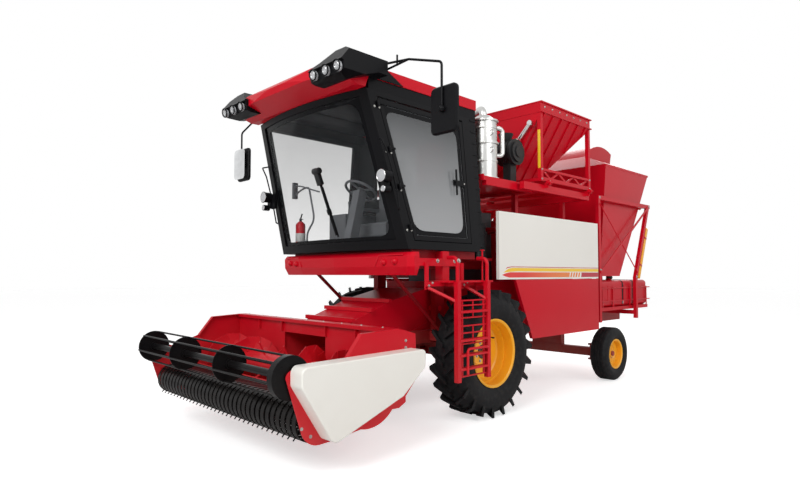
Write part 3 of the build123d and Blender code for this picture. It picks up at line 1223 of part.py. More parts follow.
# Black lamp pods that wrap the front corners of the roof, with an eyebrow and a plate along the roof's side
with BuildPart() as lamp_pods:
    for side in (-1, 1):
        with BuildPart(mode=Mode.PRIVATE) as pod:
            with BuildSketch(Plane.XZ.offset(-pod_back_y)):
                with BuildLine():
                    Polyline((side * pod_inner_x, lamp_z - 62), (side * pod_inner_x, lamp_z + 72),
                             (side * (pod_inner_x + 110), lamp_z + 120), (side * pod_peak_x, pod_top_z),
                             (side * (pod_peak_x + 150), pod_top_z - 6), (side * pod_outer_x, pod_top_z - 60),
                             (side * pod_outer_x, lamp_z - 30), (side * (pod_outer_x - 120), lamp_z - 74),
                             (side * pod_inner_x, lamp_z - 62))
                make_face()
            extrude(amount=pod_back_y - roof_front_y + 20)
            with BuildSketch(Plane.YZ.offset(-1200)):
                with BuildLine():
                    Polyline((pod_back_y, roof_band_z), (pod_back_y, pod_top_z), (roof_front_y + 120, pod_top_z),
                             (roof_front_y - 4, lamp_z + 66), (roof_front_y - 22, lamp_z + 48),
                             (roof_front_y + 8, lamp_z + 40), (roof_front_y + 20, lamp_z - 50),
                             (roof_front_y + 130, lamp_z - 74), (cab_front_y - cab_lean + 20, roof_band_z),
                             (pod_back_y, roof_band_z))
                make_face()
            extrude(amount=2400, mode=Mode.INTERSECT)
        add(pod.part)
        near = side * roof_half_w if side > 0 else -roof_half_w - 12
        with BuildSketch(Plane.YZ.offset(near)):
            with BuildLine():
                Polyline((pod_back_y - 40, roof_band_z), (pod_back_y - 40, pod_top_z - 10),
                         (pod_back_y + 30, roof_top_z - 20), (pod_back_y + 320, roof_band_z),
                         (pod_back_y - 40, roof_band_z))
            make_face()
        extrude(amount=12)
finish(lamp_pods, "lamp_pods")

# Red roof: crowned, with a curved front and a visor that slopes back to the windscreen
with BuildPart() as cab_roof:
    with BuildSketch(Plane.YZ.offset(-roof_half_w)):
        with BuildLine():
            Polyline((cab_rear_y + 100, roof_band_z), (cab_front_y - cab_lean + 20, roof_band_z),
                     (cab_front_y - cab_lean - 20, cab_top_z + 2), (cab_front_y - cab_lean - 118, cab_top_z + 2),
                     (roof_front_y + 24, lamp_z + 4), (roof_front_y, lamp_z + 62), (roof_front_y + 36, lamp_z + 104),
                     (roof_front_y + 200, roof_top_z - 30), (pod_back_y, roof_top_z),
                     (cab_rear_y - 500, roof_top_z), (cab_rear_y + 100, roof_band_z + 122),
                     (cab_rear_y + 100, roof_band_z))
        make_face()
    extrude(amount=2 * roof_half_w)
    # crown across the width
    with BuildSketch(Plane.XZ.offset(-200)):
        with BuildLine():
            Line((-roof_half_w, cab_top_z), (-roof_half_w, roof_band_z + 112))
            Line((-roof_half_w, roof_band_z + 112), (-roof_half_w + 70, roof_top_z - 34))
            ThreePointArc((-roof_half_w + 70, roof_top_z - 34), (0, roof_top_z), (roof_half_w - 70, roof_top_z - 34))
            Line((roof_half_w - 70, roof_top_z - 34), (roof_half_w, roof_band_z + 112))
            Line((roof_half_w, roof_band_z + 112), (roof_half_w, cab_top_z))
            Line((roof_half_w, cab_top_z), (-roof_half_w, cab_top_z))
        make_face()
    extrude(amount=3200, both=True, mode=Mode.INTERSECT)
    # curved front in plan
    with BuildSketch(Plane.XY.offset(cab_top_z - 10)):
        with BuildLine():
            ThreePointArc((-roof_half_w, roof_front_y + 100), (0, roof_front_y), (roof_half_w, roof_front_y + 100))
            Polyline((roof_half_w, roof_front_y + 100), (roof_half_w, cab_rear_y + 100),
                     (-roof_half_w, cab_rear_y + 100), (-roof_half_w, roof_front_y + 100))
        make_face()
    extrude(amount=400, mode=Mode.INTERSECT)
    add(lamp_pods.part, mode=Mode.SUBTRACT)
finish(cab_roof, "cab_roof")

# Round roof lamps with their bezels, three in each pod
with BuildPart() as roof_lamps:
    for side in (-1, 1):
        for x in lamp_xs:
            tilt = Vector(0, -cos(radians(14)), -sin(radians(14)))
            seat_at = Vector(side * x, roof_front_y + 13, lamp_z)
            with Locations(Plane(origin=seat_at + tilt * 17, z_dir=tilt)):
                Cylinder(lamp_r, 22)
                with Locations((0, 0, 12)):
                    Cone(lamp_r - 6, lamp_r - 16, 8)
finish(roof_lamps, "roof_lamps")

# Seat, steering column and wheel, console
with BuildPart() as cab_interior:
    block(-170, 170, -1500, -1200, 1830, 1960)
    for half, y0, y1, z0, z1 in ((240, -1580, -1140, 1960, 2130), (230, -1260, -1140, 2110, 2720),
                                 (130, -1250, -1150, 2700, 2890)):
        with BuildPart(mode=Mode.PRIVATE) as cushion:
            block(-half, half, y0, y1, z0, z1)
            fillet(cushion.edges().filter_by(Axis.X), 28)
        add(cushion.part)
    for side in (-1, 1):
        block(side * 290 - 30, side * 290 + 30, -1560, -1200, 2290, 2330)
        block(side * 270 - 40, side * 270 + 40, -1240, -1180, 2130, 2300)
    # side console with a lever
    block(-640, -330, -1700, -1140, 1830, 2250)
    bar((-480, -1500, 2230), (-460, -1540, 2420), 24, 24)
    block(-110, 110, -2000, -1800, 1830, 1900)
    bar((0, -1900, 1890), (0, -1755, 2470), 110, 110)
    with Locations(Plane(origin=(0, -1745, 2480), z_dir=(0, 0.5, 0.87))):
        Torus(185, 15)
        Box(370, 26, 14)
        Box(26, 370, 14)
        Cylinder(44, 40)
finish(cab_interior, "cab_interior")

# Ladder and platform on the left: bolted beams, posts, treads, sliding lower frame and hoops
ladder_x = 1300
ladder_ys = (-1610, -1140)
beam_z = 1440
with BuildPart() as ladder:
    block(cab_half_w - 80, 1098, -1600, -1500, beam_z - 20, cab_floor_z - 30)
    block(1001, ladder_x - 26, -1700, -1000, beam_z + 18, beam_z + 36)
    block(skirt_x + 1, skirt_x + 41, -1884, -1120, beam_z - 19, beam_z + 21)
    for y in (-1860, -1330):
        block(skirt_x + 1, skirt_x + 17, y - 24, y + 24, beam_z - 50, 1655)
    for y in ladder_ys:
        block(1002, ladder_x, y - 20, y + 20, beam_z - 20, beam_z + 20)
        block(ladder_x - 25, ladder_x + 25, y - 25, y + 25, 490, beam_z + 26)
        # hoop handrail over the post
        add(pipe(((ladder_x, y, beam_z), (ladder_x, y, 1704), (ladder_x - 125, y, 1704)), 60, 19))
    bar((skirt_x + 20, -1860, beam_z - 30), (ladder_x - 10, -1615, beam_z - 170), 26, 26)
    bar((skirt_x + 20, -1330, beam_z - 10), (ladder_x - 10, -1160, beam_z - 150), 26, 26)
    # inner uprights, flat treads and round bars
    for y in (-1545, -1205):
        rod((ladder_x, y, 530), (ladder_x, y, 1290), 11)
    for z in (612, 745, 890, 1170):
        block(ladder_x - 30, ladder_x + 30, ladder_ys[0] + 10, ladder_ys[1] - 10, z - 12, z + 12)
    for z in (538, 855, 960, 1030, 1110, 1231, 1280):
        rod((ladder_x, ladder_ys[0], z), (ladder_x, ladder_ys[1], z), 8)
    for low, high in ((855, 1030), (1110, 1280)):
        rod((ladder_x, -1375, low), (ladder_x, -1375, high), 7)
    # lower frame with rounded corners
    lower = [(ladder_x + 36, y, z) for y, z in ((-1500, 560), (-1500, 806), (-1170, 806), (-1170, 560))]
    add(pipe(lower, 34, 13))
    for z in (612, 745):
        block(ladder_x + 24, ladder_x + 40, -1510, -1160, z - 9, z + 9)
    # upright with a cap at the rear
    rod((1180, -1060, beam_z + 30), (1180, -1060, 1790), 9)
    rod((1180, -1060, 1788), (1180, -1060, 1798), 24)
finish(ladder, "ladder")

# Mirrors on both sides, each hung from two arms off the roof's side plate
mirror_mid_z = (mirror_low_z + mirror_high_z) / 2
with BuildPart() as mirrors:
    for side in (-1, 1):
        plate = side * (roof_half_w + 17.3)
        block(plate - 5, plate + 5, mirror_y - 30, mirror_y + 30, 3435, 3545)
        hook = ((plate, 3525), (side * 1320, 3478), (side * mirror_x, 3350), (side * mirror_x, mirror_mid_z))
        add(pipe([(x, mirror_y, z) for x, z in hook], 45, 11))
        rod((plate, mirror_y, 3455), (side * 1300, mirror_y, 3478), 10)
        rod((side * 1167, mirror_y, 3460), (side * 1167, mirror_y, 3560), 9)
        with BuildPart(mode=Mode.PRIVATE) as mirror:
            with BuildSketch(Plane.XZ.offset(-mirror_y - 14)):
                with Locations((side * mirror_x, mirror_mid_z)):
                    RectangleRounded(2 * mirror_half_w, mirror_high_z - mirror_low_z, 50)
            extrude(amount=-34)
            chamfer(mirror.faces().sort_by(Axis.Y)[0].edges(), 14)
        add(mirror.part)
        with Locations((side * mirror_x, mirror_y, mirror_mid_z)):
            Sphere(30)
finish(mirrors, "mirrors")

# Lid of the vine bin with its cross duct; it hinges on the front rim
with BuildPart() as vine_hood:
    with BuildSketch(Plane.XY.offset(vine_rim_z + lid_seat)):
        with Locations((0, (vine_front_top_y + vine_rear_top_y) / 2)):
            Rectangle(2 * vine_half_w - 4, vine_rear_top_y - vine_front_top_y)
    with BuildSketch(Plane.XY.offset(vine_rim_z + 250)):
        with Locations((0, 2950)):
            Rectangle(900, 700)
    loft(ruled=True)
    with BuildSketch(Plane.YZ.offset(-vine_half_w)):
        with BuildLine():
            Line((2560, 3330), (2650, 3460))
            ThreePointArc((2650, 3460), (3080, 3680), (3600, 3620))
            Line((3600, 3620), (3540, 3400))
            Line((3540, 3400), (3500, 3330))
            Line((3500, 3330), (2560, 3330))
        make_face()
    extrude(amount=vine_half_w + 420)
    offset(amount=-vine_sheet, openings=vine_hood.faces().sort_by(Axis.Z)[0])
    for x in (-700, 700):
        with BuildSketch(Plane.YZ.offset(x - 12)):
            with BuildLine():
                Polyline((lid_hinge_y, lid_hinge_z - 10), (lid_hinge_y, lid_hinge_z + 14),
                         (vine_front_top_y + 60, lid_hinge_z + 20), (vine_front_top_y + 8, vine_rim_z + lid_seat + 2),
                         (lid_hinge_y, lid_hinge_z - 10))
            make_face()
        extrude(amount=10)
        rod((x - 12, lid_hinge_y, lid_hinge_z), (x - 2, lid_hinge_y, lid_hinge_z), 16)
        with Locations(Plane(origin=(x - 7, lid_hinge_y, lid_hinge_z), z_dir=(1, 0, 0))):
            Cylinder(lid_pin_r + bearing_fit, 40, mode=Mode.SUBTRACT)
finish(vine_hood, "vine_hood")

# Fan and riser duct on the right side of the machine
with BuildPart() as vine_duct:
    rod((-1110, 1150, 1250), (-1380, 1150, 1250), 330)
    bar((-1245, 1150, 1450), (-1245, 2700, 3300), 260, 300, side=(1, 0, 0))
    block(-1375, -1010, 2620, 3520, 3200, 3560)
finish(vine_duct, "vine_duct")

# Belt pulleys beside the engine, on shaft stubs of the thresher
with BuildPart() as pulleys:
    for y, z, r in ((-330, 2080, 130), (60, 2080, 90), (1150, 2080, 140)):
        rod((900, y, z), (960, y, z), r)
        rod((body_half_w if y > body_step_y else 420, y, z), (900, y, z), 25)
finish(pulleys, "pulleys")
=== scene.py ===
"""Looks of a self-propelled peanut harvester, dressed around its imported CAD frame.

Metres. The machine drives toward -Y, its left side is +X and the ground is Z = 0.
"""

import logging
import math
from dataclasses import dataclass, field
from enum import Enum

import bpy
import bmesh
from mathutils import Matrix, Vector


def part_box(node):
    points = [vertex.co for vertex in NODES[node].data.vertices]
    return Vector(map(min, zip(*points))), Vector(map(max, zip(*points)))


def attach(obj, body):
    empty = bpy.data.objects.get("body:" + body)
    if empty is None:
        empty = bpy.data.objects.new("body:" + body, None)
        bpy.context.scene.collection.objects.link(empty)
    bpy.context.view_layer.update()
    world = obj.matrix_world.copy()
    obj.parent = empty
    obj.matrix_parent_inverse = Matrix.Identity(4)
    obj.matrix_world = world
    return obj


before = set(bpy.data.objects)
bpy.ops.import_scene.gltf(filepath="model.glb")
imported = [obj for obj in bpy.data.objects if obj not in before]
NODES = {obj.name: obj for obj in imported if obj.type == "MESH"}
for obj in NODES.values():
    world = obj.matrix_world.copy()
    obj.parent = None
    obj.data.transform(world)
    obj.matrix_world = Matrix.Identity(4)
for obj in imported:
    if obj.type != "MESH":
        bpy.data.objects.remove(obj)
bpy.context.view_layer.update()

LOG = logging.getLogger("harvester")
Point = tuple[float, float, float]
Colour = tuple[float, float, float]
Flat = list[tuple[float, float]]
Places = list[tuple[Vector, Vector]]
WHITE: Colour = (1.0, 1.0, 1.0)
UP: Point = (0.0, 0.0, 1.0)
ACROSS: Point = (1.0, 0.0, 0.0)
SIDES = (1, -1)
PILLAR_LEAN = 0.279  # how far the cab's front pillars lean back per metre of height
PROBE_X = 3.0  # past the machine's sides, where probes from beside start
PROBE_Y = -4.0  # past its front, where probes from ahead start
SMOOTH_DEG = 35.0


class Slot(Enum):
    """Material slots of the record that new pieces name."""

    RED = "red_paint"
    YELLOW = "yellow_paint"
    RUBBER = "tyre_rubber"
    BLACK = "black_paint"
    PLASTIC = "black_plastic"
    GREY = "grey_plastic"
    CHASSIS = "dark_steel"
    LAMP = "lamp_glass"
    STEEL = "bare_steel"


class Socket:
    """A shader output that takes part in Python arithmetic."""

    def __init__(self, graph: "Graph", link: bpy.types.NodeSocket) -> None:
        """Keep the graph that owns the link."""
        self.graph = graph
        self.link = link

    def _math(self, operation: str, *values: "Socket | float") -> "Socket":
        """Add a Math node with the given operation on the values."""
        return self.graph.node("ShaderNodeMath", {"operation": operation}, dict(enumerate(values)))

    def __add__(self, other: "Socket | float") -> "Socket":
        """Sum."""
        return self._math("ADD", self, other)

    def __radd__(self, other: float) -> "Socket":
        """Sum with a number first."""
        return self._math("ADD", other, self)

    def __sub__(self, other: "Socket | float") -> "Socket":
        """Difference."""
        return self._math("SUBTRACT", self, other)

    def __rsub__(self, other: float) -> "Socket":
        """Difference with a number first."""
        return self._math("SUBTRACT", other, self)

    def __mul__(self, other: "Socket | float") -> "Socket":
        """Product."""
        return self._math("MULTIPLY", self, other)

    def power(self, exponent: float) -> "Socket":
        """Raise to a power."""
        return self._math("POWER", self, exponent)

    def clamp(self) -> "Socket":
        """Limit to the range 0 to 1."""
        return self.graph.node("ShaderNodeClamp", {}, {0: self})

    def wave(self) -> "Socket":
        """Sine of the value."""
        return self._math("SINE", self)


class Graph:
    """A shader node tree under construction."""

    def __init__(self, tree: bpy.types.NodeTree) -> None:
        """Take over a tree and empty it."""
        self.tree = tree
        self.tree.nodes.clear()

    def node(self, kind: str, settings: dict, values: dict, output: int | str = 0) -> Socket:
        """Add a node.

        Args:
            kind: Node type.
            settings: Node properties, set before its sockets.
            values: Socket index or name to a number, colour or Socket.
            output: Output returned.

        Returns:
            The chosen output as a Socket.
        """
        made = self.tree.nodes.new(kind)
        for key, value in settings.items():
            setattr(made, key, value)
        for key, value in values.items():
            self.feed(made.inputs[key], value)
        return Socket(self, made.outputs[output])

    def feed(self, socket: bpy.types.NodeSocket, value: "Socket | float | tuple") -> None:
        """Link or set one input socket."""
        if isinstance(value, Socket):
            self.tree.links.new(value.link, socket)
        elif isinstance(value, tuple) and len(value) == 3 and socket.type == "RGBA":
            socket.default_value = (*value, 1.0)
        else:
            socket.default_value = value


class Shader(Graph):
    """A node material under construction."""

    def __init__(self, name: str) -> None:
        """Start a material of the given name with its output and principled shader."""
        self.material = bpy.data.materials.new(name)
        self.material.use_nodes = True
        super().__init__(self.material.node_tree)
        self.out = self.tree.nodes.new("ShaderNodeOutputMaterial")
        self.body = self.tree.nodes.new("ShaderNodeBsdfPrincipled")
        self.tree.links.new(self.body.outputs[0], self.out.inputs[0])

    def place(self, turn: Point = (0.0, 0.0, 0.0), scale: Point = (1.0, 1.0, 1.0)) -> Socket:
        """Object coordinates, turned and scaled."""
        coords = self.node("ShaderNodeTexCoord", {}, {}, "Object")
        return self.node("ShaderNodeMapping", {}, {"Vector": coords, "Rotation": turn, "Scale": scale})

    def along(self, axis: int) -> Socket:
        """One Object coordinate, 0 to 2 for X to Z."""
        coords = self.node("ShaderNodeTexCoord", {}, {}, "Object")
        return self.node("ShaderNodeSeparateXYZ", {}, {0: coords}, axis)

    def height(self) -> Socket:
        """Height above the ground."""
        return self.along(2)

    def noise(self, size: float, detail: float = 3.0, vector: Socket | None = None) -> Socket:
        """Noise whose blobs measure about the given size.

        Args:
            size: Blob size in metres.
            detail: Octaves.
            vector: Coordinates, Object by default.

        Returns:
            The noise factor.
        """
        where = vector or self.place()
        values = {"Vector": where, "Scale": 1.0 / size, "Detail": detail}
        return self.node("ShaderNodeTexNoise", {}, values, 0)

    def mix(self, factor: Socket | float, low: "Socket | Colour", high: "Socket | Colour") -> Socket:
        """Blend two colours."""
        return self.node("ShaderNodeMix", {"data_type": "RGBA"}, {0: factor, 6: low, 7: high}, 2)

    def bump(self, height: Socket, depth: float, strength: float = 1.0) -> None:
        """Feed a bump of the given depth in metres to the normal."""
        normal = self.node("ShaderNodeBump", {}, {"Height": height, "Distance": depth, "Strength": strength})
        self.feed(self.body.inputs["Normal"], normal)

    def set(self, **values: "Socket | float | tuple") -> None:
        """Set principled sockets by name, with underscores for spaces."""
        for key, value in values.items():
            self.feed(self.body.inputs[key.replace("_", " ")], value)


@dataclass(frozen=True)
class Finish:
    """One named finish."""

    name: str

    def fill(self, shader: Shader) -> None:
        """Set the shader's sockets."""
        raise NotImplementedError

    def make(self) -> bpy.types.Material:
        """Build the material."""
        shader = Shader(self.name)
        self.fill(shader)
        return shader.material


@dataclass(frozen=True)
class Paint(Finish):
    """Gloss coat on sheet metal with faint orange peel, handling marks and road dust low down."""

    colour: Colour
    shade: Colour
    roughness: float = 0.34
    coat: float = 0.22
    dust: float = 0.10
    specular: float = 0.32

    def fill(self, shader: Shader) -> None:
        """Set the shader's sockets."""
        broad = shader.noise(0.9, 2.0)
        fine = shader.noise(0.035, 3.0)
        colour = shader.mix(broad, self.shade, self.colour)
        low = (1.0 - shader.height() * 0.9).clamp() * shader.noise(0.22, 5.0)
        dusty = shader.mix((low * self.dust * 2.0).clamp(), colour, (0.42, 0.33, 0.25))
        shader.set(Base_Color=dusty, Roughness=(fine * 0.10 + self.roughness - 0.05) + low * 0.3)
        shader.set(Coat_Weight=self.coat, Coat_Roughness=0.08, Specular_IOR_Level=self.specular)
        shader.bump(shader.noise(0.012, 2.0) + shader.noise(0.35, 1.0) * 2.0, 0.0006, 0.35)


@dataclass(frozen=True)
class Fade(Finish):
    """Printed film that fades from one colour to another along the machine."""

    front: Colour
    rear: Colour
    start: float
    end: float

    def fill(self, shader: Shader) -> None:
        """Set the shader's sockets."""
        share = ((shader.along(1) - self.start) * (1.0 / (self.end - self.start))).clamp()
        film = shader.noise(0.02, 3.0)
        shader.set(Base_Color=shader.mix(share, self.front, self.rear), Roughness=0.3 + film * 0.1)
        shader.set(Coat_Weight=0.3, Coat_Roughness=0.1)
        shader.bump(film, 0.0003, 0.3)


@dataclass(frozen=True)
class Rubber(Finish):
    """Black tyre rubber, a little paler where it is scuffed."""

    colour: Colour = (0.007, 0.007, 0.008)
    scuff: Colour = (0.026, 0.025, 0.024)

    def fill(self, shader: Shader) -> None:
        """Set the shader's sockets."""
        scuffs = shader.noise(0.05, 6.0)
        colour = shader.mix((scuffs * 2.4 - 1.1).clamp(), self.colour, self.scuff)
        shader.set(Base_Color=colour, Roughness=0.50 + scuffs * 0.25, Specular_IOR_Level=0.16)
        shader.bump(shader.noise(0.006, 4.0), 0.0009, 0.5)


@dataclass(frozen=True)
class Moulded(Finish):
    """Moulded plastic with a fine leather grain."""

    colour: Colour
    roughness: float = 0.5
    grain: float = 0.004
    specular: float = 0.35

    def fill(self, shader: Shader) -> None:
        """Set the shader's sockets."""
        values = {"Vector": shader.place(), "Scale": 1.0 / self.grain}
        cells = shader.node("ShaderNodeTexVoronoi", {}, values, 0)
        broad = shader.noise(0.3, 3.0)
        darker = tuple(channel * 0.72 for channel in self.colour)
        shader.set(Base_Color=shader.mix(broad, darker, self.colour), Roughness=self.roughness + broad * 0.12)
        shader.set(Specular_IOR_Level=self.specular)
        shader.bump(cells, 0.0005, 0.6)


@dataclass(frozen=True)
class Metal(Finish):
    """Bare or plated metal with rolled streaks."""

    colour: Colour
    roughness: float = 0.3
    metallic: float = 1.0
    streak: Point = (4.0, 4.0, 60.0)

    def fill(self, shader: Shader) -> None:
        """Set the shader's sockets."""
        lines = shader.noise(1.0, 4.0, shader.place(scale=self.streak))
        stains = shader.noise(0.15, 4.0)
        darker = tuple(channel * 0.62 for channel in self.colour)
        stained = shader.mix((stains * 1.6 - 0.4).clamp(), darker, self.colour)
        shader.set(Base_Color=stained, Metallic=self.metallic)
        shader.set(Roughness=self.roughness + lines * 0.16)
        shader.bump(lines, 0.0004, 0.4)


@dataclass(frozen=True)
class Glazing(Finish):
    """Thin tinted sheet of glass, painted darker and more opaque toward its top: a painted reflection of what
    hangs above.
    """

    foot: Colour
    # colour at the top of the pane, a painted reflection of what hangs above
    head: Colour
    cover: float
    low: float = 1.86
    high: float = 3.22

    def fill(self, shader: Shader) -> None:
        """Set the shader's sockets."""
        film = shader.noise(0.9, 1.0)
        share = ((shader.height() - self.low) * (1.0 / (self.high - self.low)) + film * 0.1).clamp()
        # painted reflection: with height the colour fades from the foot tint to the dark head colour, and
        # alpha rises
        tint_and_painted_reflection = shader.mix(share.power(1.4), self.foot, self.head)
        shader.set(Base_Color=tint_and_painted_reflection, Roughness=0.04 + film * 0.02, Alpha=share * 0.12 + self.cover)
        shader.set(Coat_Weight=0.5, Coat_Roughness=0.02, IOR=1.45, Specular_IOR_Level=0.35)


@dataclass(frozen=True)
class Lens(Finish):
    """Lamp lens with moulded flutes."""

    colour: Colour
    flute: float = 0.008

    def fill(self, shader: Shader) -> None:
        """Set the shader's sockets."""
        across = shader.node("ShaderNodeSeparateXYZ", {}, {0: shader.place()}, 0)
        flutes = (across * (2.0 * math.pi / self.flute)).wave()
        darker = tuple(channel * 0.6 for channel in self.colour)
        shader.set(Base_Color=shader.mix((flutes * 0.5 + 0.5).clamp(), darker, self.colour), Roughness=0.12)
        shader.set(Coat_Weight=1.0, Coat_Roughness=0.03)
        shader.bump(flutes, 0.0008, 0.6)


@dataclass
class Finishes:
    """Every finish on the machine, made once."""

    made: dict[str, bpy.types.Material] = field(default_factory=dict)

    def build(self) -> None:
        """Make all finishes."""
        for finish in (
            Paint("red_gloss", (0.62, 0.0030, 0.016), (0.54, 0.0025, 0.013), specular=0.14, coat=0.08),
            Paint("cream_gloss", (0.86, 0.84, 0.79), (0.82, 0.80, 0.74)),
            Paint("rim_yellow", (0.98, 0.46, 0.008), (0.92, 0.41, 0.006)),
            Paint("stripe_yellow", (0.90, 0.60, 0.03), (0.86, 0.55, 0.025)),
            Paint("stripe_crimson", (0.50, 0.008, 0.030), (0.45, 0.006, 0.026)),
            Paint("black_satin", (0.006, 0.006, 0.007), (0.004, 0.004, 0.005),
                  roughness=0.42, coat=0.02, dust=0.06, specular=0.09),
            Paint("black_gloss", (0.004, 0.004, 0.005), (0.003, 0.003, 0.004),
                  roughness=0.26, coat=0.02, dust=0.03, specular=0.08),
            Paint("chassis_red", (0.34, 0.004, 0.010), (0.26, 0.003, 0.008),
                  roughness=0.42, coat=0.04, dust=0.3, specular=0.15),
            Fade("stripe_flame", (0.72, 0.012, 0.006), (0.78, 0.20, 0.02), -0.2, 0.75),
            Rubber("tyre_black"),
            Moulded("plastic_black", (0.010, 0.010, 0.011), 0.42),
            Moulded("plastic_grey", (0.20, 0.21, 0.225), 0.5),
            Moulded("label_white", (0.70, 0.70, 0.68), 0.5),
            Metal("heat_shield", (0.74, 0.74, 0.72), 0.26),
            Metal("chrome_rod", (0.80, 0.80, 0.80), 0.12),
            Metal("zinc_bolt", (0.62, 0.61, 0.58), 0.32),
            Metal("mirror_silver", (0.86, 0.87, 0.88), 0.03),
            Metal("cast_iron", (0.09, 0.09, 0.095), 0.5, metallic=0.6),
            # each pane's second colour is a painted reflection that darkens its top
            Glazing("cab_pane", (0.10, 0.11, 0.115), (0.030, 0.033, 0.037), 0.05),
            Glazing("door_pane", (0.42, 0.43, 0.44), (0.035, 0.038, 0.042), 0.76),
            Lens("lamp_lens", (0.52, 0.53, 0.55)),
        ):
            self.made[finish.name] = finish.make()
        LOG.info("finishes: %d", len(self.made))

    def dress(self, name: str, *nodes: str) -> None:
        """Give CAD nodes a finish.

        Args:
            name: Finish name.
            nodes: CAD node names.
        """
        for node in nodes:
            slots = NODES[node].data.materials
            slots.clear()
            slots.append(self.made[name])


NODE_FINISHES: dict[str, tuple[str, ...]] = {
    "red_gloss": (
        "lower_panels", "bin_base", "pod_bin", "vine_bin", "vine_hood", "vine_frame", "fuel_tank",
        "tank_rack", "bumper", "cab_roof", "ladder", "header_frame", "feeder_house", "auger",
        "engine_deck", "vine_duct", "thresher_body", "pod_barrel", "vine_barrels", "lift_barrels",
    ),
    "cream_gloss": ("upper_panels", "header_cover"),
    "rim_yellow": ("front_left_rim", "front_right_rim", "rear_left_rim", "rear_right_rim"),
    "tyre_black": ("front_left_tyre", "front_right_tyre", "rear_left_tyre", "rear_right_tyre"),
    "black_satin": ("cab_shell", "door_frame", "mirrors", "lamp_pods"),
    "black_gloss": ("reel", "pickup_rotor", "pickup_bands"),
    "chassis_red": (
        "main_frame", "cab_frame", "front_axle", "rear_axle", "knuckle_left", "knuckle_right", "pulleys",
    ),
    "plastic_black": ("air_filter", "side_tank"),
    "plastic_grey": ("cab_interior",),
    "heat_shield": ("exhaust_unit",),
    "chrome_rod": ("pod_rod", "vine_rods", "lift_rods"),
    "cast_iron": ("engine",),
    "cab_pane": ("cab_glass",),
    "door_pane": ("door_glass",),
    "lamp_lens": ("roof_lamps",),
}


